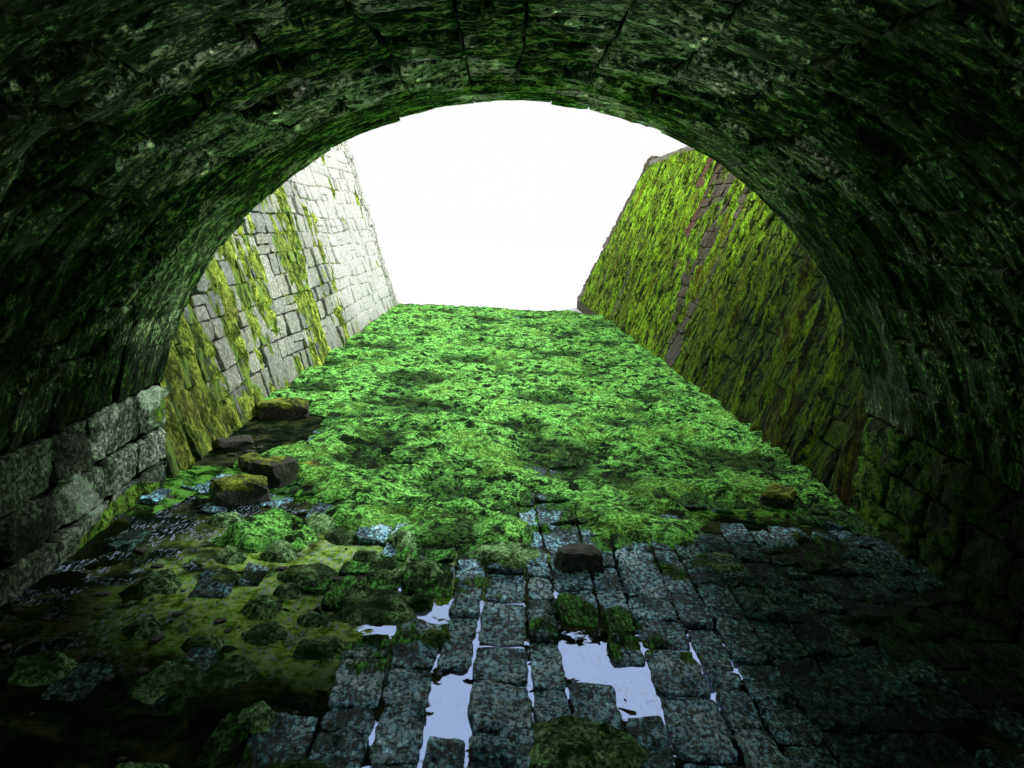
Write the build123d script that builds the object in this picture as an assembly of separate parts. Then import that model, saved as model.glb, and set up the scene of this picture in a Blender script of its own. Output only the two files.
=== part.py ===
from build123d import *
import math
import os

# Culvert headwall in rubble and dressed stone, millimetres, +Z up.
# +Y runs out of the barrel between the wing walls, and +X is to the right of someone looking out.
# The origin is on the centre line, under the sill at the mouth, on the ground that the walls stand on.

# Barrel and arch
clear_span = 4050
springing_height = 590
arch_height = 1630
springer_setback = 10
ring_depth = 450
barrel_length = 6000
paving_thickness = 250
springer_top_angle = 25
vault_segments = 5

# Abutments, in courses counted from the paving upwards
abutment_thickness = 900
base_course_height = 140
middle_course_height = 210
footing_projection = 200

# Face ring at the mouth
ring_length = 600
ring_stones_a_side = 11
keystone_extra_height = 60
keystone_nose = 40

# Masonry backing over the haunches
backing_height = 1150
backing_fall = 300

# Headwall and parapet
headwall_half_width = 4300
crown_panel_half_width = 900
wall_height = 3100
band_height = 130
band_projection = 80
band_weathering = 50
parapet_thickness = 450
parapet_height = 560
parapet_pier_width = 620
parapet_pier_extra_height = 90
parapet_pier_projection = 50
coping_thickness = 150
coping_overhang = 50
coping_weathering = 35
coping_stones = 7
pier_cap_thickness = 190
pier_cap_slope_height = 90
pier_cap_head_ratio = 0.3

# Wing walls, battered on the side of the channel and upright at the back
channel_half_width = 2015
wing_top_width = 600
left_wing_length = 10700
left_wing_batter_ratio = 0.34
left_wing_turn_ratio = 0.0
right_wing_length = 14400
right_wing_batter_ratio = 0.44
right_wing_turn_ratio = 0.025
wing_end_length = 620
wing_end_extra_height = 60
wing_coping_thickness = 140
wing_coping_overhang = 40
wing_coping_weathering = 25
wing_coping_stone = 1150

# Floor of the channel
mouth_sill_inside = 300
mouth_sill_outside = 150
end_sill_width = 320

# Joints
stone_joint = 10
curved_seat = 0.3

# Levels and radii that follow
floor_level = paving_thickness
springing_level = floor_level + springing_height
half_span = clear_span / 2
arch_half_chord = half_span + springer_setback
arch_radius = (arch_half_chord**2 + arch_height**2) / (2 * arch_height)
arch_centre_level = springing_level + arch_height - arch_radius
ring_radius = arch_radius + ring_depth
seat_radius = ring_radius + curved_seat
abutment_back = half_span + abutment_thickness
wall_top_level = floor_level + wall_height
band_top_level = wall_top_level + band_height
parapet_top_level = band_top_level + parapet_height
back_of_headwall = -ring_length
ring_stone_angle = (180 - 2 * springer_top_angle) / (2 * ring_stones_a_side + 1)


def upright_plane(y):
    """The plane across the barrel at a place along it, drawn in x and z."""
    return Plane(origin=(0, y, 0), x_dir=(1, 0, 0), z_dir=(0, -1, 0))


def upright(points, start, end, turn=0.0):
    """A solid with an outline in x and z, run along Y, that drifts to -X by turn for each unit of y."""
    outline = [(x - turn * start, z) for x, z in points]
    face = upright_plane(start) * make_face(Polyline(*outline, close=True))
    length = end - start
    return Solid.extrude(face.face(), Vector(-turn * length, length, 0))


def block(x_low, x_high, y_low, y_high, z_low, z_high):
    """An upright block between its limits."""
    return upright([(x_low, z_low), (x_high, z_low), (x_high, z_high), (x_low, z_high)], y_low, y_high)


def flat(points, z_low, z_high):
    """A solid with an outline in plan."""
    plane = Plane(origin=(0, 0, z_low))
    face = plane * make_face(Polyline(*points, close=True))
    return Solid.extrude(face.face(), Vector(0, 0, z_high - z_low))


def mirrored(points, side):
    """The same outline on the left (-1) or on the right (1)."""
    return [(side * x, z) for x, z in points]


def on_circle(radius, angle):
    """The point of a circle about the arch's centre, by its angle above the horizontal in degrees."""
    turned = math.radians(angle)
    return (radius * math.cos(turned), arch_centre_level + radius * math.sin(turned))


def arch_curve(radius, start_angle, end_angle):
    """An arc about the arch's centre."""
    angles = (start_angle, (start_angle + end_angle) / 2, end_angle)
    return ThreePointArc(*[on_circle(radius, angle) for angle in angles])


def arch_stone(angle_low, angle_high, start, end, inner=arch_radius, outer=ring_radius):
    """A stone or a length of vault between two radial joints."""
    soffit = arch_curve(inner, angle_low, angle_high)
    back = arch_curve(outer, angle_high, angle_low)
    joint_high = Line(on_circle(inner, angle_high), on_circle(outer, angle_high))
    joint_low = Line(on_circle(outer, angle_low), on_circle(inner, angle_low))
    face = upright_plane(start) * make_face(soffit + joint_high + back + joint_low)
    return Solid.extrude(face.face(), Vector(0, end - start, 0))


def barrel_core(radius, start, end):
    """The cylinder about the arch's axis that is taken out of the masonry around the ring."""
    face = upright_plane(start) * make_face(CenterArc((0, arch_centre_level), radius, 0, 360))
    return Solid.extrude(face.face(), Vector(0, end - start, 0))


def write(name, *solids):
    """Writes one node."""
    shape = solids[0] if len(solids) == 1 else Compound(children=list(solids))
    export_step(shape, os.path.join("parts", name + ".step"))


# Floor

def wing_plan_x(side, y):
    """Where a wing's face meets the paving, at a distance from the mouth."""
    turn = left_wing_turn_ratio if side < 0 else right_wing_turn_ratio
    return side * (channel_half_width - turn * y)


def make_floor():
    """The barrel's paving, the sill at the mouth, the apron between the wings and the sill that ends it."""
    apron_end = left_wing_length - end_sill_width
    write("barrel_paving", block(-half_span, half_span, -barrel_length, -mouth_sill_inside, 0, floor_level))
    sill = [
        (-half_span, -mouth_sill_inside),
        (half_span, -mouth_sill_inside),
        (half_span, 0),
        (wing_plan_x(1, 0), 0),
        (wing_plan_x(1, mouth_sill_outside), mouth_sill_outside),
        (wing_plan_x(-1, mouth_sill_outside), mouth_sill_outside),
        (wing_plan_x(-1, 0), 0),
        (-half_span, 0),
    ]
    write("mouth_sill", flat(sill, 0, floor_level))
    write("apron", channel_floor(mouth_sill_outside, apron_end))
    write("apron_end_sill", channel_floor(apron_end, left_wing_length))


def channel_floor(start, end):
    """A stretch of the channel's floor, from one wing's foot to the other's."""
    outline = [
        (wing_plan_x(-1, start), start),
        (wing_plan_x(1, start), start),
        (wing_plan_x(1, end), end),
        (wing_plan_x(-1, end), end),
    ]
    return flat(outline, 0, floor_level)


# Footings

def make_footings():
    """The footings under the abutments, under the headwall and under the wings, one node each."""
    abutment_pair = []
    headwall_pair = []
    for side in (-1, 1):
        inner = side * half_span
        outer = side * (abutment_back + footing_projection)
        low, high = sorted((inner, outer))
        abutment_pair.append(block(low, high, -barrel_length, back_of_headwall, 0, floor_level))
        low, high = sorted((inner, side * (headwall_half_width + footing_projection)))
        headwall_pair.append(block(low, high, back_of_headwall, 0, 0, floor_level))
    write("abutment_footings", *abutment_pair)
    write("headwall_footings", *headwall_pair)
    wing_pair = []
    for side, length, batter, turn in wings:
        outer = wing_back(batter) + footing_projection
        outline = [
            (channel_half_width, 0),
            (outer, 0),
            (outer, floor_level),
            (channel_half_width, floor_level),
        ]
        wing_pair.append(upright(mirrored(outline, side), 0, length + footing_projection, turn))
    write("wing_footings", *wing_pair)


# Abutments and springers

def make_abutments():
    """Three courses a side, and over them the springers, whose tops lie square to the arch."""
    levels = [
        ("base", floor_level, floor_level + base_course_height),
        ("middle", floor_level + base_course_height, floor_level + base_course_height + middle_course_height),
        ("top", floor_level + base_course_height + middle_course_height, springing_level),
    ]
    for side, hand in ((-1, "left"), (1, "right")):
        low, high = sorted((side * half_span, side * abutment_back))
        for name, bottom, top in levels:
            write(f"abutment_{hand}_{name}_course", block(low, high, -barrel_length, 0, bottom, top))
        write(f"springer_{hand}", make_springer(side))


def make_springer(side):
    """The first stones of the arch: a level bed, the soffit's curve and a top square to it."""
    springing_angle = math.degrees(math.asin((springing_level - arch_centre_level) / arch_radius))
    inner_low = (arch_half_chord, springing_level)
    inner_high = on_circle(arch_radius, springer_top_angle)
    outer_high = on_circle(ring_radius, springer_top_angle)
    outer_low = (math.sqrt(ring_radius**2 - (springing_level - arch_centre_level) ** 2), springing_level)
    inner_middle = on_circle(arch_radius, (springing_angle + springer_top_angle) / 2)
    outer_middle = on_circle(ring_radius, springer_top_angle * 0.75)
    soffit = ThreePointArc(inner_low, inner_middle, inner_high)
    back = ThreePointArc(outer_high, outer_middle, outer_low)
    outline = soffit + Line(inner_high, outer_high) + back + Line(outer_low, inner_low)
    face = upright_plane(-barrel_length) * make_face(outline)
    springer = Solid.extrude(face.face(), Vector(0, barrel_length, 0))
    return springer if side > 0 else mirror(springer, Plane.YZ).solid()


# Vault

def make_vault():
    """The barrel behind the face ring, in equal lengths of arc from one springer to the other."""
    names = ["haunch_right", "shoulder_right", "crown", "shoulder_left", "haunch_left"]
    step = (180 - 2 * springer_top_angle) / vault_segments
    for number, name in enumerate(names):
        low = springer_top_angle + number * step
        write("vault_" + name, arch_stone(low, low + step, -barrel_length, back_of_headwall))


# Face ring

def make_face_ring():
    """Tapered voussoirs from springer to springer, and a keystone that rises into the wall."""
    step = ring_stone_angle
    stones = {"right_odd": [], "right_even": [], "left_odd": [], "left_even": []}
    for number in range(ring_stones_a_side):
        low = springer_top_angle + number * step
        turn = "even" if number % 2 else "odd"
        stones["right_" + turn].append(arch_stone(low, low + step, back_of_headwall, 0))
        stones["left_" + turn].append(arch_stone(180 - low - step, 180 - low, back_of_headwall, 0))
    for name, solids in stones.items():
        write("voussoirs_" + name, *solids)
    write("keystone", keystone(keystone_nose))


def keystone(front):
    """The stone at the crown, taller than its neighbours, from the back of the headwall to its front."""
    half = ring_stone_angle / 2
    top = ring_radius + keystone_extra_height
    return arch_stone(90 - half, 90 + half, back_of_headwall, front, outer=top)


# Backing over the haunches

def make_backing():
    """The masonry that loads each haunch, with a top that falls towards the outside."""
    top_inside = springing_level + backing_height
    top_outside = top_inside - backing_fall
    crown_side = math.sqrt(seat_radius**2 - (top_inside - arch_centre_level) ** 2)
    core = barrel_core(seat_radius, -barrel_length, back_of_headwall)
    for side, hand in ((-1, "left"), (1, "right")):
        outline = mirrored(
            [
                (half_span, springing_level),
                (abutment_back, springing_level),
                (abutment_back, top_outside),
                (crown_side, top_inside),
                (crown_side - ring_depth, top_inside),
            ],
            side,
        )
        rough = upright(outline, -barrel_length, back_of_headwall)
        write("haunch_backing_" + hand, (rough - core).solid())


# Headwall

def make_headwall():
    """Piers beside the abutments, spandrels over them and a panel over the crown, cut to the face ring."""
    core = barrel_core(seat_radius, back_of_headwall, 0)
    for side, hand in ((-1, "left"), (1, "right")):
        low, high = sorted((side * abutment_back, side * headwall_half_width))
        write(f"headwall_pier_{hand}", block(low, high, back_of_headwall, 0, floor_level, wall_top_level))
        low, high = sorted((side * crown_panel_half_width, side * abutment_back))
        spandrel = block(low, high, back_of_headwall, 0, springing_level, wall_top_level)
        write(f"headwall_spandrel_{hand}", (spandrel - core).solid())
    half = crown_panel_half_width
    panel = block(-half, half, back_of_headwall, 0, springing_level, wall_top_level)
    write("headwall_crown_panel", (panel - core - keystone(0)).solid())


def make_parapet():
    """The band, the parapet with a pier at each end, the coping stones and the piers' caps."""
    band = [
        (back_of_headwall, wall_top_level),
        (band_projection, wall_top_level),
        (band_projection, band_top_level - band_weathering),
        (parapet_pier_projection, band_top_level),
        (back_of_headwall, band_top_level),
    ]
    write("band_course", along_wall(band, -headwall_half_width, headwall_half_width))
    pier_inner = headwall_half_width - parapet_pier_width
    back = -parapet_thickness
    write("parapet_wall", block(-pier_inner, pier_inner, back, 0, band_top_level, parapet_top_level))
    pier_top = parapet_top_level + parapet_pier_extra_height
    proud = parapet_pier_projection
    piers = []
    caps = []
    for side in (-1, 1):
        low, high = sorted((side * pier_inner, side * headwall_half_width))
        piers.append(block(low, high, back - proud, proud, band_top_level, pier_top))
        caps.append(pier_cap(low, high, back - proud, proud, pier_top))
    write("parapet_piers", *piers)
    write("pier_caps", *caps)
    coping_end = pier_inner - coping_overhang
    pitch = 2 * coping_end / coping_stones
    profile = [
        (back - coping_overhang, parapet_top_level),
        (coping_overhang, parapet_top_level),
        (coping_overhang, parapet_top_level + coping_thickness - coping_weathering),
        (-parapet_thickness / 2, parapet_top_level + coping_thickness),
        (back - coping_overhang, parapet_top_level + coping_thickness - coping_weathering),
    ]
    stones = []
    for number in range(coping_stones):
        start = -coping_end + number * pitch
        stones.append(along_wall(profile, start + stone_joint / 2, start + pitch - stone_joint / 2))
    write("parapet_coping", *stones)


def along_wall(points, start, end):
    """A solid with an outline in y and z, run from one x to another."""
    plane = Plane(origin=(start, 0, 0), x_dir=(0, 1, 0), z_dir=(1, 0, 0))
    face = plane * make_face(Polyline(*points, close=True))
    return Solid.extrude(face.face(), Vector(end - start, 0, 0))


def pier_cap(x_low, x_high, y_low, y_high, bottom):
    """A square cap with an upright edge and a low pyramid over it."""
    x_middle = (x_low + x_high) / 2
    y_middle = (y_low + y_high) / 2
    width = x_high - x_low + 2 * coping_overhang
    depth = y_high - y_low + 2 * coping_overhang
    slab_top = bottom + pier_cap_thickness - pier_cap_slope_height
    slab = Pos(x_middle, y_middle, (bottom + slab_top) / 2) * Box(width, depth, slab_top - bottom)
    foot = Pos(x_middle, y_middle, slab_top) * Rectangle(width, depth)
    flat_top = Rectangle(width * pier_cap_head_ratio, depth * pier_cap_head_ratio)
    head = Pos(x_middle, y_middle, slab_top + pier_cap_slope_height) * flat_top
    slopes = loft([foot, head], ruled=True)
    return (slab + slopes).solid()


# Wing walls

wings = [
    (-1, left_wing_length, left_wing_batter_ratio, -left_wing_turn_ratio),
    (1, right_wing_length, right_wing_batter_ratio, right_wing_turn_ratio),
]


def wing_back(batter):
    """How far a wing's upright back stands from the centre line at the mouth."""
    return channel_half_width + batter * wall_height + wing_top_width


def wing_outline(batter, top):
    """A wing's section: battered on the channel's side, upright behind."""
    return [
        (channel_half_width, floor_level),
        (wing_back(batter), floor_level),
        (wing_back(batter), top),
        (channel_half_width + batter * (top - floor_level), top),
    ]


def make_wings():
    """Each wing: its wall, the dressed end and the coping stones along its top."""
    for (side, length, batter, turn), hand in zip(wings, ("left", "right")):
        body_end = length - wing_end_length
        seat_level = wall_top_level - wing_coping_thickness
        wall = upright(mirrored(wing_outline(batter, seat_level), side), 0, body_end, turn)
        write("wing_wall_" + hand, wall)
        end_top = wall_top_level + wing_end_extra_height
        end = upright(mirrored(wing_outline(batter, end_top), side), body_end, length, turn)
        write("wing_end_" + hand, end)
        inner = channel_half_width + batter * (seat_level - floor_level) - wing_coping_overhang
        outer = wing_back(batter) + wing_coping_overhang
        profile = mirrored(
            [
                (inner, seat_level),
                (outer, seat_level),
                (outer, wall_top_level),
                (inner, wall_top_level - wing_coping_weathering),
            ],
            side,
        )
        count = max(1, round(body_end / wing_coping_stone))
        pitch = body_end / count
        stones = []
        for number in range(count):
            start = number * pitch + stone_joint / 2
            stones.append(upright(profile, start, start + pitch - stone_joint, turn))
        write("wing_coping_" + hand, *stones)


os.makedirs("parts", exist_ok=True)
make_floor()
make_footings()
make_abutments()
make_vault()
make_face_ring()
make_backing()
make_headwall()
make_parapet()
make_wings()
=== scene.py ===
import math
import random
from typing import NamedTuple

import bmesh
import bpy
from mathutils import Matrix, Vector, noise


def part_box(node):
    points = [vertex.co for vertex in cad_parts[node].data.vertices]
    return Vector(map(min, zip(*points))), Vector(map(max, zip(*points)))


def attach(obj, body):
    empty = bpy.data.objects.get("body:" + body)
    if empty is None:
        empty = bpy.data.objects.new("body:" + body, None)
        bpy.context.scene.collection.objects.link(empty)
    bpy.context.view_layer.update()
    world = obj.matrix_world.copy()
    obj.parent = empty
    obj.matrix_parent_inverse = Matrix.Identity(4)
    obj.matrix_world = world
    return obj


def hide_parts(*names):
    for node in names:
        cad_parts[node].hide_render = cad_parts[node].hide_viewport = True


bl_info = {
    "name": "Culvert Headwall",
    "version": (1, 0, 0),
    "blender": (4, 5, 0),
    "location": "3D View > Sidebar > Headwall",
    "description": "Lays the stones, the moss and the wet setts of a stone culvert's outlet on its solids",
    "category": "Add Mesh",
}

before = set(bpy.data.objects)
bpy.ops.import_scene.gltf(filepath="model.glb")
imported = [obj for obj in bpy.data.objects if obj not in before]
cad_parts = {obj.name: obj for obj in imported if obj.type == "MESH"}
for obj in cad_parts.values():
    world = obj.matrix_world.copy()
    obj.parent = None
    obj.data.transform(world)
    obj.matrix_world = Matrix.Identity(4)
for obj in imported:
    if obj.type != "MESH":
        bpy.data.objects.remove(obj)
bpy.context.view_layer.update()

# Lines of the masonry, in metres, as the solids have them

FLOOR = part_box("barrel_paving")[1].z
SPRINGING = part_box("springer_left")[0].z
HALF_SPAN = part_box("barrel_paving")[1].x
BARREL_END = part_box("barrel_paving")[0].y
ARCH_RADIUS = 2.0853
ARCH_CENTRE = 0.3847
RING_DEPTH = 0.45
RING_RADIUS = ARCH_RADIUS + RING_DEPTH
RING_STONES = 23
KEYSTONE_RISE = 0.06
KEYSTONE_PROUD = 0.075
SPRINGER_TOP = math.radians(25)
SPRINGING_ANGLE = math.asin((SPRINGING - ARCH_CENTRE) / ARCH_RADIUS)
ARC_START = SPRINGING_ANGLE * ARCH_RADIUS
ARC_END = (math.pi - SPRINGING_ANGLE) * ARCH_RADIUS
ABUTMENT_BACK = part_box("abutment_right_base_course")[1].x
WALL_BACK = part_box("band_course")[0].y
WALL_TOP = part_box("headwall_pier_left")[1].z
WALL_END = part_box("headwall_pier_right")[1].x
BACKING_FALL = 0.3
BACKING_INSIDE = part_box("haunch_backing_left")[1].z
BACKING_OUTSIDE = BACKING_INSIDE - BACKING_FALL
BACKING_CROWN = math.sqrt(RING_RADIUS ** 2 - (BACKING_INSIDE - ARCH_CENTRE) ** 2)
WING_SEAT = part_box("wing_wall_left")[1].z
WING_END_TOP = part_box("wing_end_left")[1].z
WING_FOOT = 2.015
WING_END_LENGTH = 0.62
LEFT_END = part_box("wing_end_left")[1].y
RIGHT_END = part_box("wing_end_right")[1].y
LEFT_BATTER = 0.34
RIGHT_BATTER = 0.44
RIGHT_TURN = 0.025
FOOTING_TOE = 0.2
FINE_SETTS = (-3.5, 0.15)
LAP = 0.02
UNDERSIDE = 0.02
LEFT, RIGHT = -1, 1
HANDS = (("left", LEFT), ("right", RIGHT))


def linear(red, green, blue):
    """A colour given in the usual 0 to 255 steps, as light."""
    steps = [value / 255 for value in (red, green, blue)]
    return tuple(s / 12.92 if s < 0.04045 else ((s + 0.055) / 1.055) ** 2.4 for s in steps)


def tinted(colour, factor, grey=0.0):
    """A colour made darker or lighter, and greyer by a share."""
    level = sum(colour) / 3
    return tuple(min(1.0, (c * (1 - grey) + level * grey) * factor) for c in colour)


FLOOR_MOSS = linear(112, 180, 76)
FLOOR_MOSS_SHADE = linear(22, 54, 14)
OUTSIDE_MOSS = linear(108, 132, 52)
OUTSIDE_MOSS_SHADE = linear(60, 72, 30)
# The dark tint that painted shade draws colours towards.
PAINTED_SHADE_TINT = (0.045, 0.08, 0.035)


def length_property(name, default, description):
    """A size in metres that a user may change."""
    return bpy.props.FloatProperty(
        name=name, description=description, default=default, min=0.0, unit="LENGTH", subtype="DISTANCE"
    )


def colour_property(name, rgb, description):
    """A finish colour that a user may change."""
    return bpy.props.FloatVectorProperty(
        name=name, description=description, default=linear(*rgb), size=3, min=0.0, max=1.0, subtype="COLOR"
    )


class HeadwallSizes(bpy.types.PropertyGroup):
    """Sizes of the stones, the joints and the moss."""

    vault_course: length_property("Vault course", 0.27, "Width of a course of the vault, round the arch")
    vault_stone: length_property("Vault stone", 0.46, "Length of a vault stone along the barrel")
    ashlar_stone: length_property("Ashlar stone", 0.44, "Length of an abutment stone")
    rubble_course: length_property("Rubble course", 0.19, "Height of a course of the wing walls")
    rubble_stone: length_property("Rubble stone", 0.36, "Length of a wing wall's stone")
    outside_course: length_property("Outside course", 0.26, "Height of a course on the unseen sides")
    outside_stone: length_property("Outside stone", 0.5, "Length of a stone on the unseen sides")
    sett_width: length_property("Sett width", 0.15, "Width of a sett across the barrel")
    sett_length: length_property("Sett length", 0.27, "Length of a sett along the barrel")
    joint: length_property("Joint", 0.012, "Width of the open joints")
    moss_depth: length_property("Moss depth", 0.035, "Thickness of the thickest moss")


class HeadwallColours(bpy.types.PropertyGroup):
    """Colours of the finishes and levels of the light."""

    vault: colour_property("Vault stone", (206, 250, 192), "Damp stone of the vault")
    grey: colour_property("Grey stone", (228, 234, 218), "Dry stone of the left wing")
    brown: colour_property("Brown stone", (104, 98, 70), "Stone of the right wing and the outside")
    dressed: colour_property("Dressed stone", (150, 146, 130), "Stone of the band, the copings and the caps")
    # Bluer and brighter than the stone, as a painted sheen of the sky on the wet setts.
    sett: colour_property("Sett", (168, 214, 222), "Wet stone of the floor")
    moss: colour_property("Moss", (166, 230, 54), "Lit tips of the moss")
    moss_shade: colour_property("Moss in shade", (62, 84, 14), "Depth of the moss")
    sky: bpy.props.FloatProperty(name="Sky", description="Level of the light from all round", default=0.9, min=0.0)
    lamp: bpy.props.FloatProperty(name="Lamp", description="Level of the main lamp", default=1.9, min=0.0)


# Faces of the masonry

class Facing:
    """A flat face. Metres along it, up it and out of it become a place in the frame."""

    def __init__(self, origin, along, out):
        self.origin = Vector(origin)
        self.along = Vector(along).normalized()
        self.out = Vector(out).normalized()
        self.up = self.out.cross(self.along).normalized()

    def place(self, u, v, w):
        return self.origin + self.along * u + self.up * v + self.out * w


def looking_out(y, z=FLOOR):
    """An upright face across the barrel that looks out of it, measured to the left."""
    return Facing((0, y, z), (-1, 0, 0), (0, 1, 0))


def looking_in(y, z=FLOOR):
    """An upright face across the barrel that looks back, measured to the right."""
    return Facing((0, y, z), (1, 0, 0), (0, -1, 0))


def looking_aside(side, x, z=FLOOR, turn=0.0):
    """An upright face along the barrel that looks away from it, measured outwards on the right."""
    return Facing((side * x, 0, z), (-turn, side, 0), (side, turn, 0))


def looking_up(z):
    """A level face, measured outwards and to the left."""
    return Facing((0, 0, z), (0, 1, 0), (0, 0, 1))


class Drum:
    """A curved face about the arch's axis: in from the mouth, round from the right and out of the face."""

    def __init__(self, radius, hollow):
        self.radius = radius
        self.sense = -1 if hollow else 1

    def place(self, u, v, w):
        turned = v / self.radius
        reach = self.radius + self.sense * w
        return Vector((reach * math.cos(turned), -u, ARCH_CENTRE + reach * math.sin(turned)))


class RingFace:
    """The upright face of the arch ring: round the soffit, out from the soffit and out of the wall."""

    def __init__(self, y, sense):
        self.y = y
        self.sense = sense

    def place(self, u, v, w):
        turned = u / ARCH_RADIUS
        reach = ARCH_RADIUS + v
        return Vector((reach * math.cos(turned), self.y + self.sense * w, ARCH_CENTRE + reach * math.sin(turned)))


def outer_edge(node, side):
    """How far out from the barrel's axis a CAD node reaches on one side."""
    return abs(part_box(node)[0 if side == LEFT else 1].x)


class Wing:
    """One wing wall: its battered face, how far that reaches up the slope, and where its end begins."""

    def __init__(self, hand, side, batter, turn, end, slot):
        self.hand, self.side, self.batter, self.turn, self.end, self.slot = hand, side, batter, turn, end, slot
        along = (0, 1, 0) if side == LEFT else (turn, -1, 0)
        out = (1, 0, batter) if side == LEFT else (-1, -turn, batter)
        self.face = Facing((side * WING_FOOT, 0, FLOOR), along, out)
        self.slope = self.up_slope(WING_SEAT)
        self.end_start = end - WING_END_LENGTH

    def up_slope(self, level):
        """How far up its slope the face meets a level."""
        return (level - FLOOR) * math.sqrt(1 + self.batter ** 2)


WINGS = (
    Wing("left", LEFT, LEFT_BATTER, 0.0, LEFT_END, "wing_rubble_grey"),
    Wing("right", RIGHT, RIGHT_BATTER, RIGHT_TURN, RIGHT_END, "wing_rubble_mossy"),
)
SOFFIT = Drum(ARCH_RADIUS, True)


# Stones

class Dressing(NamedTuple):
    """How the faces of one kind of stone are left: sizes in metres, slopes as ratios, waves per metre."""

    cell: tuple = (0.05, 0.045)
    proud: tuple = (0.02, 0.04)
    tilt: float = 0.04
    lean: float = 0.0
    dome: float = 0.0
    rough: float = 0.008
    pitch: tuple = (6, 7)
    facet: float = 0.008
    facet_pitch: tuple = (7, 8)
    streak: float = 0.0
    streak_pitch: tuple = (9, 2.4)
    drop: float = 0.008
    round_over: float = 0.022
    corner: float = 0.02
    ragged: float = 0.006
    joint: float = 1.0
    sunk: float = 0.018


CLEFT = Dressing(cell=(0.018, 0.036), proud=(0.014, 0.03), tilt=0.035, lean=0.045, rough=0.01, pitch=(6, 2.4),
                 facet=0.022, facet_pitch=(7, 2.6), streak=0.024, drop=0.006, round_over=0.01, corner=0.008, joint=0.4,
                 sunk=0.0)
CLEFT_FAR = CLEFT._replace(cell=(0.05, 0.05))
RING_SOFFIT = CLEFT._replace(proud=(0.01, 0.015), tilt=0.012, lean=0.01, rough=0.007, facet=0.014, streak=0.012,
                             drop=0.004, round_over=0.008, corner=0.002, ragged=0.002, joint=0.15)
RING_FRONT = Dressing(cell=(0.045, 0.04), proud=(0.04, 0.052), tilt=0.02, dome=0.006, rough=0.006, pitch=(7, 7),
                      facet=0.009, facet_pitch=(8, 8), round_over=0.014, corner=0.004, ragged=0.004, joint=0.35)
ASHLAR = Dressing(cell=(0.032, 0.028), proud=(0.012, 0.036), tilt=0.05, dome=0.004, rough=0.014, facet=0.024,
                  facet_pitch=(8, 9), drop=0.012, round_over=0.014, corner=0.014, ragged=0.014, joint=0.8)
SQUARED = Dressing(cell=(0.046, 0.042), proud=(0.014, 0.034), tilt=0.05, dome=0.002, rough=0.006, pitch=(8, 9),
                   facet=0.01, facet_pitch=(9, 10), round_over=0.009, corner=0.008, ragged=0.014, joint=0.7)
SQUARED_COARSE = SQUARED._replace(cell=(0.064, 0.058))
OUTSIDE = Dressing(cell=(0.11, 0.105), proud=(0.018, 0.04), dome=0.012, rough=0.009, pitch=(5, 5), facet=0.012,
                   facet_pitch=(6, 6), drop=0.016, round_over=0.035, corner=0.03, ragged=0.008)
SETT = Dressing(cell=(0.024, 0.022), proud=(0.004, 0.024), tilt=0.055, rough=0.009, pitch=(9, 9), facet=0.018,
                facet_pitch=(9, 11), drop=0.007, round_over=0.007, corner=0.009, ragged=0.011, joint=0.9, sunk=0.0)
SETT_COARSE = SETT._replace(cell=(0.08, 0.07), tilt=0.05, facet=0.022, corner=0.007, ragged=0.012, joint=1.0)
EMBED = 0.03
SOFT_EDGE = 0.0085
SMALLEST = 0.03


class Stone:
    """One stone: its four corners on a face, its dressing and what it draws at random."""

    def __init__(self, corners, dressing, rng, proud=None):
        self.corners = corners
        self.dressing = dressing
        self.tone = rng.random()
        self.seed = rng.uniform(0, 60)
        self.proud = rng.uniform(*dressing.proud) if proud is None else proud
        self.lean = (rng.gauss(dressing.lean, dressing.tilt), rng.gauss(0, dressing.tilt))
        a, b, c, d = corners
        self.length = (b[0] - a[0] + c[0] - d[0]) / 2
        self.height = (d[1] - a[1] + c[1] - b[1]) / 2

    def grid(self):
        """How many cells its face has along and up."""
        cell = self.dressing.cell
        return max(3, round(self.length / cell[0]) + 1), max(3, round(self.height / cell[1]) + 1)


def divided(start, end, pitch, spread, rng):
    """Cuts from start to end, about pitch apart, each part longer or shorter by up to spread."""
    count = max(1, round((end - start) / pitch))
    shares = [rng.uniform(1 - spread, 1 + spread) for _ in range(count)]
    scale = (end - start) / sum(shares)
    cuts = [start]
    for share in shares:
        cuts.append(cuts[-1] + share * scale)
    cuts[-1] = end
    return cuts


def square_limits(low, high):
    """The same limits at every level."""
    return lambda v: (low, high)


def span(side, start, end):
    """Limits from start to end on the right, and the same mirrored on the left."""
    return square_limits(-end, -start) if side == LEFT else square_limits(start, end)


def bounded(limits, first, last):
    """The limits of a run, kept to the part of it between two cuts."""
    return lambda v: (max(limits(v)[0], first), min(limits(v)[1], last))


def between(side, near_at, far_at):
    """Limits on one side between two outlines, which give half a width for a height."""
    def limits(v):
        far = far_at(v + FLOOR)
        near = min(near_at(v + FLOOR), far)
        return (-far, -near) if side == LEFT else (near, far)
    return limits


def middle(quad):
    """The middle of four corners."""
    return sum(corner[0] for corner in quad) / 4, sum(corner[1] for corner in quad) / 4


def course_of(low, high, cuts, limits, wave):
    """The four corners of each stone of a course between two levels, ended by the limits at each level."""
    quads = []
    for number, (start, end) in enumerate(zip(cuts, cuts[1:])):
        first, last = number == 0, number == len(cuts) - 2
        rows = []
        for level in (low, high):
            level_start, level_end = limits(level)
            rows.append((level_start if first else max(start, level_start), level_end if last else min(end, level_end)))
        if all(right - left < SMALLEST for left, right in rows):
            continue
        (low_left, low_right), (high_left, high_right) = (
            (left, max(right, left + SMALLEST / 3)) for left, right in rows)
        quads.append([(u, v + wave(u, v)) for u, v in (
            (low_left, low), (low_right, low), (high_right, high), (high_left, high))])
    return quads


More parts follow.
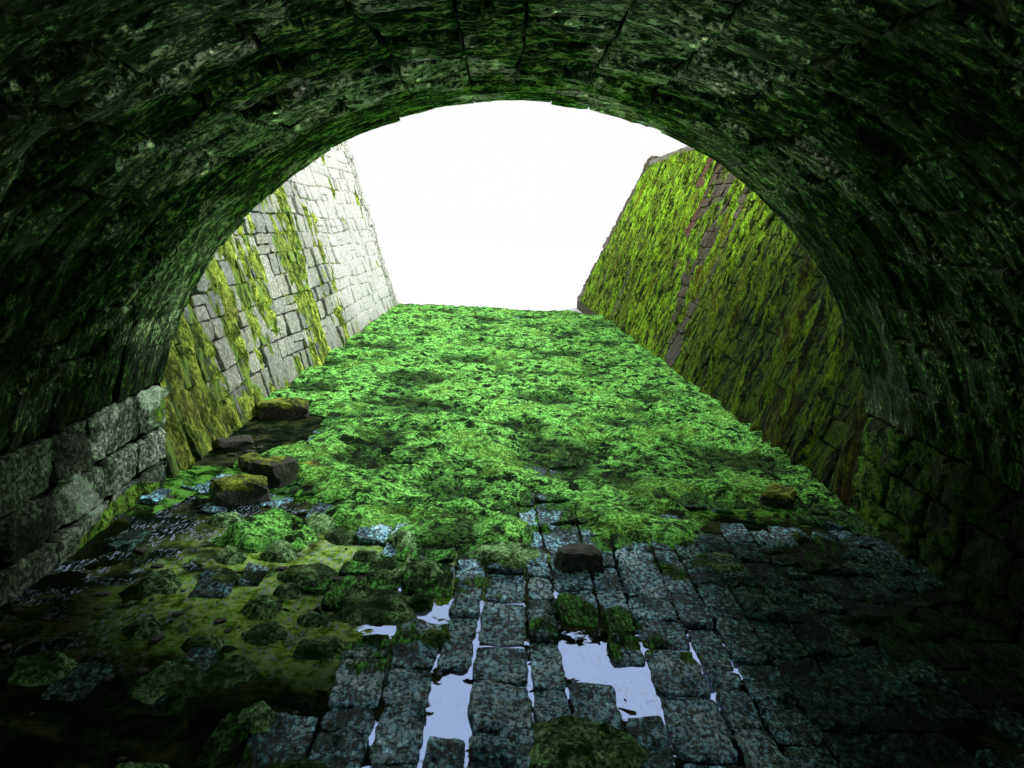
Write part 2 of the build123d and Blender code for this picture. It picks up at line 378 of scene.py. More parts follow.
def laid(levels, limits, pitch, dressing, rng, spread=0.35, sway=0.012, jumpers=0.0, splits=0.0, keep=None):
    """Courses of stones between the levels. Jumpers stand through two courses, and splits are two thin stones."""
    floor, ceiling = levels[0], levels[-1]

    def wave(u, v):
        inside = min(1.0, abs(v - floor) * 20, abs(ceiling - v) * 20)
        return inside * sway * 2 * waver(u * 0.9, v * 3.1, pitch * 7)

    stones = []
    row = 0
    while row < len(levels) - 1:
        low, high = levels[row], levels[row + 1]
        paired = jumpers > 0 and row + 2 < len(levels)
        top = levels[row + 2] if paired else high
        spans = [limits(low), limits(high), limits(top)]
        start, end = min(span[0] for span in spans), max(span[1] for span in spans)
        pieces = []
        quads = []
        reached = start
        if paired:
            for stop in divided(start, end, pitch / jumpers, 0.5, rng)[1:-1]:
                width = pitch * rng.uniform(0.8, 1.25)
                pieces.append((reached, stop))
                quads += course_of(low, top, [stop, stop + width], bounded(limits, stop, stop + width), wave)
                reached = stop + width
        pieces.append((reached, end))
        for first, last in pieces:
            inner = bounded(limits, first, last)
            for bottom, above in ((low, high), (high, top)) if paired else ((low, high),):
                quads += course_of(bottom, above, divided(first, last, pitch, spread, rng), inner, wave)
        for quad in quads:
            if keep and not keep(quad, rng):
                continue
            if rng.random() < splits and quad[1][0] - quad[0][0] > pitch * 0.8:
                share = rng.uniform(0.4, 0.6)
                left, right = ((a[0], a[1] + (b[1] - a[1]) * share) for a, b in (
                    (quad[0], quad[3]), (quad[1], quad[2])))
                stones.append(Stone([quad[0], quad[1], right, left], dressing, rng))
                stones.append(Stone([left, right, quad[2], quad[3]], dressing, rng))
            else:
                stones.append(Stone(quad, dressing, rng))
        row += 2 if paired else 1
    return stones


blanks = {}


def blank_stone(columns, rows):
    """A closed block to shape a stone from: a grid for its face, four sides and one face behind."""
    if (columns, rows) not in blanks:
        block = bmesh.new()
        bmesh.ops.create_grid(block, x_segments=columns, y_segments=rows, size=0.5)
        rim = [edge for edge in block.edges if edge.is_boundary]
        grown = bmesh.ops.extrude_edge_only(block, edges=rim)["geom"]
        for part in grown:
            if isinstance(part, bmesh.types.BMVert):
                part.co.z = -1
        back = [part for part in grown if isinstance(part, bmesh.types.BMEdge) and part.is_boundary]
        bmesh.ops.contextual_create(block, geom=back)
        mesh = bpy.data.meshes.new(f"blank_{columns}_{rows}")
        block.to_mesh(mesh)
        block.free()
        blanks[(columns, rows)] = mesh
    return blanks[(columns, rows)]


def shares_of(segments, length, rim):
    """Where the lines of a stone's grid lie: one close to each edge and the rest evenly between."""
    edge = min(0.3, rim / length)
    inner = [edge + (1 - 2 * edge) * step / (segments - 2) for step in range(segments - 1)]
    return [0.0] + inner + [1.0]


def eased(value):
    """A smooth step from 0 to 1."""
    value = min(1.0, max(0.0, value))
    return value * value * (3 - 2 * value)


def rise(value, start, width):
    """A smooth step up from 0 to 1 that begins at start."""
    return eased((value - start) / width)


def fall(value, start, width):
    """A smooth step down from 1 to 0 that begins at start."""
    return 1 - rise(value, start, width)


def hill(value, centre, reach):
    """A smooth hill of height 1."""
    return math.exp(-((value - centre) / reach) ** 2)


def waver(x, y, z):
    """Smooth noise about zero."""
    return noise.noise(Vector((x, y, z)))


def rugged(x, y, z, octaves=4):
    """Broken noise about zero, for surfaces."""
    return noise.fractal(Vector((x, y, z)), 0.7, 2.1, octaves)


def patches(x, y, z, octaves=3):
    """Broken noise about zero, for where things grow."""
    return noise.fractal(Vector((x, y, z)), 0.8, 2.0, octaves)


def face_height(stone, u, v, s, t, edge):
    """How far a stone stands out of its face, at a place on the wall and at shares along and up the stone."""
    way = stone.dressing
    spot = Vector((u * way.facet_pitch[0], v * way.facet_pitch[1], stone.seed * 1.7))
    centre = noise.voronoi(spot)[1][0]
    plane = (spot - centre).dot(noise.cell_vector(centre * 5.3) - Vector((0.5, 0.5, 0.5)))
    w = stone.proud + (s - 0.5) * stone.length * stone.lean[0] + (t - 0.5) * stone.height * stone.lean[1]
    w += way.dome * (16 * s * (1 - s) * t * (1 - t)) ** 0.5
    w += way.rough * rugged(u * way.pitch[0], v * way.pitch[1], stone.seed) + way.facet * plane * 2
    if way.streak:
        line = Vector((u * way.streak_pitch[0], v * way.streak_pitch[1], stone.seed * 0.3))
        w += way.streak * (0.5 - 1.6 * abs(noise.fractal(line, 0.8, 2.2, 3)))
    w -= way.drop * fall(edge, 0.0, way.round_over) ** 2
    if w < 0.01 - way.sunk:
        w = 0.0015 - way.sunk + SOFT_EDGE * math.exp((w + way.sunk - 0.01) / SOFT_EDGE)
    return w


def lay(name, facing, stones, material, slot, gap, cover=None, damp=None, shade=None, bleach=None):
    """One piece of closed stones, each shaped on its face. Cover, damp and shade give its moss, its wetness and its
    painted shade; the last argument gives its stains and, on the left wing, painted sunlight.
    """
    mass = bmesh.new()
    tone_layer, moss_layer, damp_layer, shade_layer, stain_and_sunlight_layer = layers(
        mass, "tone", "moss", "damp", "shade", "bleach")
    for stone in stones:
        mass.from_mesh(blank_stone(*stone.grid()))
    verts = iter(mass.verts)
    for stone in stones:
        way = stone.dressing
        columns, rows = stone.grid()
        length, height = stone.length, stone.height
        across = shares_of(columns, length, way.round_over * 0.6)
        upward = shares_of(rows, height, way.round_over * 0.6)
        (ax, ay), (bx, by), (cx, cy), (dx, dy) = stone.corners
        pull_u, pull_v = (min(0.3, 2 * way.corner / size) for size in (length, height))
        inset_u, inset_v = (min(0.4, gap * way.joint / size) for size in (length, height))
        for _ in blank_stone(columns, rows).vertices:
            vert = next(verts)
            s = across[round((vert.co.x + 0.5) * columns)]
            t = upward[round((vert.co.y + 0.5) * rows)]
            behind = vert.co.z < -0.5
            edge = min(min(s, 1 - s) * length, min(t, 1 - t) * height)
            x, y = 2 * s - 1, 2 * t - 1
            bulk = (x * y) ** 4
            p = (x * (1 - inset_u) * (1 - pull_u * bulk) + 1) / 2
            q = (y * (1 - inset_v) * (1 - pull_v * bulk) + 1) / 2
            u = (ax * (1 - p) + bx * p) * (1 - q) + (dx * (1 - p) + cx * p) * q
            v = (ay * (1 - p) + by * p) * (1 - q) + (dy * (1 - p) + cy * p) * q
            near = fall(edge, 0.0, 0.05)
            if near > 0:
                u += way.ragged * near * waver(u * 23, v * 23, stone.seed)
                v += way.ragged * near * waver(u * 23, v * 23, stone.seed + 9)
            w = -EMBED if behind else face_height(stone, u, v, s, t, edge)
            place = facing.place(u, v, w)
            vert.co = place
            vert[tone_layer] = stone.tone
            if cover:
                vert[moss_layer] = cover(u, v, w, place)
            if damp:
                vert[damp_layer] = damp(place)
            # The stain at a point, which on the left wing is painted sunlight; it keeps painted shade off the stone's
            # sides and rims.
            pale = bleach(place) if bleach else 0.0
            vert[stain_and_sunlight_layer] = pale
            # Painted shade: the shade of the place, and more down the stones' sides and along their rims.
            if shade:
                recess_shade = 0.9 if behind else 0.6 * fall(edge, 0.0, 0.004)
                vert[shade_layer] = max(shade(place), recess_shade * (1 - pale))
    return finished_piece(name, mass, material, slot)


def layers(mass, *names):
    """New float layers on a mesh's points, which its material reads."""
    for name in names:
        mass.verts.layers.float.new(name)
    return [mass.verts.layers.float[name] for name in names]


def linked(name, data):
    """A new object in the scene."""
    made = bpy.data.objects.new(name, data)
    bpy.context.scene.collection.objects.link(made)
    return made


def finished_piece(name, mass, material, slot, sharp=42):
    """Makes one riding object of a mesh, with its faces turned outwards and its sharp edges marked."""
    bmesh.ops.recalc_face_normals(mass, faces=mass.faces)
    mesh = bpy.data.meshes.new(name)
    mass.to_mesh(mesh)
    mass.free()
    mesh.materials.append(material)
    mesh.shade_smooth()
    mesh.set_sharp_from_angle(angle=math.radians(sharp))
    piece = linked(name, mesh)
    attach(piece, "root")
    return piece


# Where moss grows, where water lies, where stains are, and where shade and sunlight are painted. Walls are measured
# along u and up v.

def streaks(along, up, seed):
    """How mossy a wall is at a place, from about -1 to 1, in streaks that run down it."""
    return (0.9 * waver(along * 0.9, up * 0.22, seed) + 0.75 * waver(along * 2.6, up * 0.5, seed + 11)
            + 0.45 * waver(along * 9.0, up * 1.7, seed + 23))


def left_wing_moss(u, v):
    """Moss on the left wing: heavy by the mouth, in a few streaks beyond it, and none on the far upper part."""
    bias = 0.8 * fall(u, 0.8, 1.1) - 0.2 - 0.3 * rise(u, 5.0, 2.0) + 0.35 * fall(v, 0.0, 0.3)
    bias += 0.75 * hill(u, 2.75 + 0.25 * v, 0.22) * rise(v, 0.3, 0.5)
    bias += 0.5 * hill(u, 1.75 + 0.1 * v, 0.2) + 0.42 * hill(u, 4.4 + 0.2 * v, 0.3)
    bias += 0.45 * rugged(u * 5.0, v * 4.0, 33.0, 3)
    return eased((streaks(u, v, 3.0) + bias) * 1.8 + 0.15)


def left_wing_film(u, v, w, place):
    """Thin moss on the left wing's stones, round the thicker moss."""
    return min(1.0, left_wing_moss(u, v) * 0.8 + 0.24 - 0.2 * rise(place.y, 4.5, 1.5))


def left_wing_shade(place):
    """How much painted shade darkens the left wing by the mouth."""
    return 0.66 * fall(place.y, 0.2, 2.8)


def painted_sunlight(place):
    """How much painted sunlight lightens the left wing's stones: the far, upper part."""
    patch = waver(place.y * 1.3, place.z * 1.6, 9.0)
    return rise(place.y + 0.55 * (place.z - 1.2) + 0.5 * patch, 5.2, 1.5)


def bare_strip(v):
    """How far out the right wing's bare strip lies, which leans with its height."""
    return 8.1 + 0.7 * (v - 2.6)


def right_wing_moss(u, v):
    """Moss on the right wing: nearly all of it, but for a bare strip and patches."""
    y = -u
    broken = 0.3 + 1.6 * waver(y * 2.6, v * 2.3, 17.0)
    bias = 0.52 + 0.12 * rise(y, 1.5, 2.5) + 0.3 * fall(y, 0.5, 3.0)
    bias -= (0.7 + 0.5 * broken) * hill(y, bare_strip(v), 0.26) * rise(v, 0.9, 0.6)
    bias -= 1.7 * max(0.0, broken) * hill(y, 6.3 + 0.7 * (v - 1.6), 0.5)
    bias -= 0.8 * max(0.2, broken) * hill(y, 5.4, 0.3) * hill(v, 2.0, 0.25)
    bias += 0.3 * rugged(y * 3.6, v * 2.4, 37.0, 3)
    return eased((streaks(y - 0.5 * v, v, 8.0) + bias) * 2.0 + 0.1)


def right_wing_film(u, v, w, place):
    """Thin moss on the right wing's stones: most of them, and all of them by the mouth."""
    return min(0.95, right_wing_moss(u, v) * 0.8 + fall(place.y, 1.5, 4.0))


def right_wing_shade(place):
    """How far the right wing is darkened: low down and by the mouth, where no sun comes."""
    low, near = fall(place.z, 0.9, 1.7), fall(place.y, 1.0, 5.0)
    return min(0.9, 0.5 * low + 0.62 * near + 0.3 * low * near)


def right_wing_strip(place):
    """Where the right wing is stained a reddish brown, down its bare strip."""
    ragged = 0.2 * waver(place.y * 3, place.z * 4, 2.0)
    return 0.8 * hill(place.y + ragged, bare_strip(WINGS[1].up_slope(place.z)), 0.4)


def waterline_moss(u, v, w, place):
    """Moss along the foot of the abutments and over the mouth's stones."""
    patch = waver(place.y * 2.2, place.z * 3.1, 4.4)
    foot, mouth = fall(place.z, FLOOR + 0.03, 0.12), rise(place.y, -1.3, 1.3)
    return eased(foot * 0.75 + mouth * 0.35 + patch * 1.3 - 0.25)


def dark_side_moss(u, v, w, place):
    """Moss on the right abutment: a film over most of it."""
    return eased(0.5 + 0.2 * rise(place.y, -1.2, 0.9) + patches(place.y * 2.4, place.z * 2.6, 8.8) * 1.1)


def abutment_shade(place):
    """How much painted shade darkens the abutments: the right one everywhere, and both away from the mouth."""
    right = 0.8 - 0.45 * rise(place.y, -0.8, 0.7) if place.x > 0 else 0.0
    return min(0.95, right + 0.6 * fall(place.y, -2.2, 1.6))


def lime(place):
    """Where lime has run down the left abutment and left the stones pale by the mouth."""
    if place.x > 0:
        return 0.0
    ragged = 0.06 * waver(place.y * 9, place.z * 9, 1.0)
    run = hill(place.y + 0.8 * (place.z - 0.47) + ragged, -0.96, 0.11)
    run *= rise(place.z, 0.33, 0.08) * fall(place.z, 0.58, 0.08)
    return min(1.0, run + 0.6 * rise(place.z, 0.5, 0.2) * rise(place.y + 3 * ragged, -0.5, 0.4))


def vault_moss(u, v, w, place):
    """A thin film of algae in patches, more of it towards the mouth."""
    return eased(0.35 + 0.25 * fall(u, 0.0, 2.5) + patches(u * 1.3, v * 1.6, 2.0) * 0.9)


def vault_damp(place):
    """Wetness of the vault, the same all over."""
    return 0.3


# Places on the barrel's floor, as metres to the right, metres in front of the mouth and radius

CUSHIONS = (
    (0.19, -2.4, 0.16), (-0.58, -1.47, 0.15), (0.97, -0.9, 0.12),
    (-1.17, -2.11, 0.09), (-1.62, -2.05, 0.08), (-0.9, -1.2, 0.1), (-0.98, -2.02, 0.07), (-1.5, -1.35, 0.08),
    (-0.05, -0.9, 0.16), (-0.6, -2.6, 0.12), (0.75, -2.9, 0.14), (-1.05, -2.6, 0.08),
    (-0.85, -0.75, 0.08), (-1.3, -1.05, 0.06), (-0.72, -1.85, 0.08), (-1.02, -1.55, 0.07), (-0.45, -1.15, 0.09),
    (-0.68, -0.98, 0.06), (-1.45, -0.6, 0.08), (-0.3, -1.75, 0.05), (-0.82, -2.3, 0.06), (-1.4, -1.75, 0.05),
    (-1.1, -1.0, 0.06), (-0.95, -1.75, 0.06), (-0.6, -1.2, 0.05), (-1.25, -1.3, 0.05), (-0.55, -0.8, 0.07),
    (-1.0, -0.6, 0.09), (-1.15, -1.85, 0.06), (-0.4, -1.45, 0.05), (-0.95, -1.38, 0.05), (-0.8, -1.62, 0.04),
)
MOUTH_CUSHIONS = ((-0.3, -0.55, 0.3), (0.7, -0.35, 0.28), (-1.2, -0.75, 0.2), (-0.75, -0.45, 0.22))
POOLS = (
    (-0.4, -1.6, 0.14), (-0.17, -1.62, 0.11), (-0.12, -2.12, 0.1), (-0.2, -2.36, 0.1), (0.22, -1.82, 0.07),
    (0.34, -2.02, 0.11), (0.64, -1.86, 0.1),
)
# Pools that show a painted reflection of the sky.
SKY_POOLS = (
    (-0.42, -1.58, 0.17), (-0.18, -1.52, 0.16), (-0.16, -1.85, 0.2), (-0.14, -2.2, 0.22), (-0.28, -2.38, 0.16),
    (0.24, -1.82, 0.14), (0.34, -2.04, 0.18), (0.45, -2.24, 0.12), (0.62, -1.84, 0.18), (0.64, -2.06, 0.12),
    (0.24, -1.3, 0.07), (-0.5, -1.25, 0.09),
)
# Places where painted glints show on the water: metres to the right, metres in front of the mouth, the radius of full
# glints and the radius where they end.
GLINT_PLACES = ((-1.5, -0.85, 0.45, 1.4), (0.35, -1.75, 0.5, 1.3), (-0.7, -1.35, 0.35, 0.9))
SHALLOW = (-0.85, -1.25, FLOOR)

# Loose stones on the floor: metres to the right and out, half its length, width and height, and its turn

FALLEN_STONES = (
    (-1.78, 1.72, 0.2, 0.12, 0.09, 0.3), (-1.5, -0.27, 0.15, 0.1, 0.09, 0.5), (-1.4, 0.07, 0.13, 0.11, 0.1, 1.2),
    (0.3, -1.03, 0.11, 0.07, 0.075, 0.1), (-1.62, 0.35, 0.1, 0.07, 0.05, 2.0), (-1.25, 0.25, 0.09, 0.06, 0.05, 0.8),
    (-1.85, 0.75, 0.12, 0.08, 0.05, 0.6), (1.6, 0.1, 0.13, 0.09, 0.06, 1.1),
)
PEBBLES = 171

# Dark spots that deepen the vault's painted shade, as metres in from the mouth, metres round from the right and radius

DARK_SPOTS = (
    (1.95, 4.97, 0.09), (1.84, 4.87, 0.1), (1.7, 4.75, 0.09), (1.68, 3.68, 0.09), (2.04, 3.8, 0.12), (2.0, 3.97, 0.08),
    (0.5, 3.7, 0.06), (1.28, 3.02, 0.06), (1.4, 2.93, 0.08), (1.52, 2.85, 0.07),
)

# The gap that a fallen stone leaves in the vault: its middle in the same measures, half its length and half its width

FALLEN_OUT = (1.4, 2.93, 0.16, 0.1)


def near_any(places, x, y):
    """How close a place is to the nearest of several round ones, from 0 outside them to 1 at a middle."""
    ragged = 0.25 * waver(x * 6, y * 6, 5.0)
    return max(math.exp(-((x - a) ** 2 + (y - b) ** 2) / (r * (1 + ragged)) ** 2) for a, b, r in places)


def cushion_depth(places, x, y):
    """How deep the moss of some cushions lies at a place, ragged at their edges."""
    patch = patches(x * 3.1, y * 3.1, 21.0, 4)
    return eased(1.15 * min(1.0, 1.9 * near_any(places, x, y)) + 0.5 * patch - 0.3)


def runnel(x, y):
    """How far a place lies in the low, wet line along the left side of the apron."""
    return hill(x, -1.8, 0.36) * fall(y, 1.4, 0.9)


def still_water(x, y):
    """How far a place lies in the still water that stands across the right half of the mouth."""
    return hill(x, 1.4, 0.42) * hill(y, -0.36, 0.16)


def floor_moss(u, v, w, place):
    """Film of moss on the setts: most of them, less between the pools."""
    x, y = place.x, place.y
    growth = 1.2 * rise(y, -0.6, 0.9) + 0.4 * rise(abs(x - 0.2), 0.5, 0.6) + 1.2 * patches(x * 1.3, y * 1.1, 6.0, 4)
    return eased(growth + 0.25 * near_any(CUSHIONS, x, y) + 0.12 - 1.6 * runnel(x, y))


def apron_cover(u, v):
    """Depth of the moss carpet over the apron, by distance from the mouth and to the left."""
    x, y = -v, u
    if x >= WING_FOOT - RIGHT_TURN * y - LAP:
        return 0
    edge = rise(y + 0.3 * waver(x * 1.7, 3.0, 1.0), -0.55, 0.9)
    right = 0.35 * rise(x, 0.9, 0.8) * fall(y, 0.6, 0.8)
    wet = runnel(x, y) + still_water(x, y)
    carpet = eased(edge * 1.5 + patches(x * 1.1, y * 0.9, 6.0, 4) * 0.9 - 0.35 - right - 1.6 * wet)
    return max(carpet, cushion_depth(MOUTH_CUSHIONS, x, y)) if y < 0.3 else carpet


def outside_moss(u, v, w, place):
    """Some moss low down and in patches on the outside."""
    return eased(0.3 * fall(place.z, 0.0, 1.4) + patches(*(place * 0.9)) * 0.9 + 0.02)


def vault_painted_shade(place):
    """How much painted shade darkens the vault: more of it away from the mouth and low down, and at a few dark spots.
    """
    x, y, z = place
    side = rise(abs(x), 0.9, 1.0)
    foot = fall(z, 0.8, 0.5)
    right = 0.68 * rise(x, 0.25, 0.8) + 0.4 * rise(x, 1.5, 0.3) * foot
    low = 0.55 * fall(x, -1.1, 0.6) * fall(z, 0.85, 0.7) + 0.35 * fall(x, -1.8, 0.3) * foot
    low += 0.18 * fall(x, -1.0, 0.8) * rise(z, 1.4, 0.4)
    shoulder = 0.03 * fall(x, -0.8, 1.2) * rise(z, 1.3, 0.5)
    inward = rise(1.2 * side - y, 1.3, 2.1)
    painted_shade = min(0.965, right + low + 0.34 * side + 0.9 * inward) - shoulder * rise(-y, 1.5, 1.0)
    arc = math.atan2(z - ARCH_CENTRE, x) * ARCH_RADIUS
    return max(painted_shade, 0.95 * near_any(DARK_SPOTS, -y, arc))


def under_shade(place):
    """How much painted shade darkens the ring's stones under the arch."""
    return 0.95 * fall(math.hypot(place.x, place.z - ARCH_CENTRE) - ARCH_RADIUS, 0.01, 0.05)


def floor_painted_shade(place):
    """How much painted shade darkens the setts: along the walls inside the barrel, less where the algae lie, and at the
    mouth and beyond it.
    """
    x, y = place.x, place.y
    side = fall(x, -1.1, 0.75) + rise(x, 0.42, 0.62)
    algae = 0.5 * hill(x, -0.8, 0.45) * hill(y, -1.3, 0.8)
    inside = max(0.0, 0.02 + 0.95 * side - algae) * fall(y, -0.8, 0.9)
    return max(inside, 0.6 * rise(y, -0.75, 0.5))


def silt_depth(u, v):
    """Height of the silt over the water's level, by distance out of the mouth and to the left."""
    x, y = -v, u
    bank = 0.012 * hill(x, -1.98, 0.16) + 0.01 * rise(y, -0.7, 0.6) + 0.004 * fall(x, -0.9, 0.6)
    return bank + 0.018 * rugged(x * 4.2, y * 4.2, 14.0) - 0.012


def floor_damp(place):
    """Wetness of the floor: wet within the barrel, drier on the apron."""
    return 1 - 0.75 * rise(place.y, 0.3, 2.5)


def wall_damp(place):
    """Wetness of a wall, greatest by the water."""
    return 0.25 + 0.75 * fall(place.z, FLOOR, 0.5)


# Materials

class Signal:
    """A value, a colour or a place in a node tree. Sums on it are written out as nodes."""

    def __init__(self, socket):
        self.socket = socket

    def __add__(self, other):
        return calculated("ADD", self, other)

    def __sub__(self, other):
        return calculated("SUBTRACT", self, other)

    def __rsub__(self, other):
        return calculated("SUBTRACT", other, self)

    def __mul__(self, other):
        return calculated("MULTIPLY", self, other)

    def __truediv__(self, other):
        return calculated("DIVIDE", self, other)

    def at_least(self, other):
        return calculated("MAXIMUM", self, other)

    def at_most(self, other):
        return calculated("MINIMUM", self, other)

    def mapped(self, low, high, start=0.0, end=1.0, smooth=True):
        """The value carried from one range to another."""
        return wired("ShaderNodeMapRange", {0: self, 1: low, 2: high, 3: start, 4: end},
                     interpolation_type="SMOOTHSTEP" if smooth else "LINEAR", clamp=True)

    def ramp(self, *stops):
        """A colour read from stops of place and colour, or place and grey."""
        read = wired("ShaderNodeValToRGB", {0: self})
        elements = read.socket.node.color_ramp.elements
        while len(elements) < len(stops):
            elements.new(0.5)
        for element, (position, colour) in zip(elements, stops):
            element.position = position
            element.color = (*(colour if isinstance(colour, tuple) else (colour,) * 3), 1)
        return read

    def noise(self, scale, detail=4.0, rough=0.6, distortion=0.0):
        """Noise at this place, with features of one over scale metres."""
        return wired("ShaderNodeTexNoise", {
            "Vector": self, "Scale": scale, "Detail": detail, "Roughness": rough, "Distortion": distortion})

    def stretched(self, factors):
        """This place, with each axis multiplied."""
        return wired("ShaderNodeVectorMath", {0: self, 1: factors}, operation="MULTIPLY")

    def distance(self, place):
        """How far this place is from a fixed one."""
        return wired("ShaderNodeVectorMath", {0: self, 1: place}, "Value", operation="DISTANCE")

    def axis(self, name):
        """One coordinate of this place."""
        return wired("ShaderNodeSeparateXYZ", {0: self}, name)


def plug(node, inputs):
    """Gives each input of a node a value, or a link where a signal is given."""
    for key, value in inputs.items():
        socket = node.inputs[key]
        if isinstance(value, Signal):
            node.id_data.links.new(value.socket, socket)
        else:
            socket.default_value = (*value, 1) if socket.type == "RGBA" else value


def wired(kind, inputs, output=0, **settings):
    """The output of a new node, in the tree of the signals that feed it."""
    tree = next(value.socket.id_data for value in inputs.values() if isinstance(value, Signal))
    node = tree.nodes.new(kind)
    for name, value in settings.items():
        setattr(node, name, value)
    plug(node, inputs)
    return Signal(node.outputs[output])


def calculated(operation, first, second, clamp=False):
    """The result of one sum on two values."""
    return wired("ShaderNodeMath", {0: first, 1: second}, operation=operation, use_clamp=clamp)


def blend(share, first, second, how="MIX"):
    """Two colours mixed by a share."""
    return wired("ShaderNodeMix", {0: share, 6: first, 7: second}, 2, data_type="RGBA", blend_type=how)


SOCKET_KINDS = {name: "NodeSocketColor" for name in ("Colour", "Bright", "Deep")} | {"Vector": "NodeSocketVector"}


def placed_group(name, inputs, build):
    """The outputs of a node group by name. Its first use makes the group from what build gives for its inputs."""
    group = bpy.data.node_groups.get(name)
    if group is None:
        group = bpy.data.node_groups.new(name, "ShaderNodeTree")

        def add_sockets(names, way):
            for socket in names:
                kind = SOCKET_KINDS.get(socket, "NodeSocketFloat")
                group.interface.new_socket(name=socket, in_out=way, socket_type=kind)

        add_sockets(inputs, "INPUT")
        given = group.nodes.new("NodeGroupInput")
        results = build(*(Signal(given.outputs[socket]) for socket in inputs))
        add_sockets(results, "OUTPUT")
        plug(group.nodes.new("NodeGroupOutput"), results)
    made = wired("ShaderNodeGroup", inputs, node_tree=group)
    return {socket.name: Signal(socket) for socket in made.socket.node.outputs}


def stone_grain(place, scale):
    """Mottling, grain, pale flecks and surface height of weathered stone."""
    def build(vector, scale):
        coarse = vector.noise(scale * 13.0, 5.0, 0.65, 0.6)
        grain = vector.noise(scale * 38.0, 6.0, 0.7)
        return {"Mottle": vector.noise(scale * 4.0, 5.0, 0.62, 0.3), "Grain": grain,
                "Fleck": (coarse * vector.noise(scale * 90.0, 3.0, 0.8)).mapped(0.3, 0.42),
                "Height": coarse * 0.7 + grain * 0.3}

    return placed_group("Stone Grain", {"Vector": place, "Scale": scale}, build)


def moss_growth(place, amount, bright, deep):
    """Where moss shows at a given amount, its tufted colour and its height."""
    def build(vector, amount, bright, deep):
        ragged = vector.noise(55.0, 5.0, 0.75) * 0.35 + vector.noise(12.0, 4.0, 0.65, 0.5) * 0.65
        return {"Mask": (amount + (ragged - 0.5)).mapped(0.44, 0.6),
                "Colour": blend(ragged.mapped(0.43, 0.57), deep, bright), "Height": ragged}

    return placed_group("Moss Growth", {"Vector": place, "Amount": amount, "Bright": bright, "Deep": deep}, build)


class Finish:
    """A material in the making."""

    def __init__(self, name):
        self.material = bpy.data.materials.new(name)
        self.material.use_nodes = True
        self.nodes = self.material.node_tree.nodes
        self.place = Signal(self.nodes.new("ShaderNodeTexCoord").outputs["Object"])

    def carried(self, name):
        """A value that each point of the mesh carries."""
        node = self.nodes.new("ShaderNodeAttribute")
        node.attribute_name = name
        return Signal(node.outputs["Fac"])

    def given(self, colour, height, strength, distance, others):
        """The material, with its colour, its relief and the shader's other inputs."""
        normal = wired("ShaderNodeBump", {"Strength": strength, "Distance": distance, "Height": height})
        plug(self.nodes["Principled BSDF"], {"Base Color": colour, "Normal": normal, **others})
        return self.material


def made_once(build):
    """Lets a builder of materials give back what it has made under the same name before."""
    return lambda name, *values, **options: bpy.data.materials.get(name) or build(name, *values, **options)


def speckled(fine, colour, share, dark, light):
    """A moss colour broken up by fine specks of painted highlight and painted shade."""
    ramp = fine.ramp((0.42, dark), (0.48, (0.62, 0.68, 0.58)), (0.53, (1.2, 1.15, 1.2)), (0.6, light))
    return blend(share, colour, ramp, "MULTIPLY")


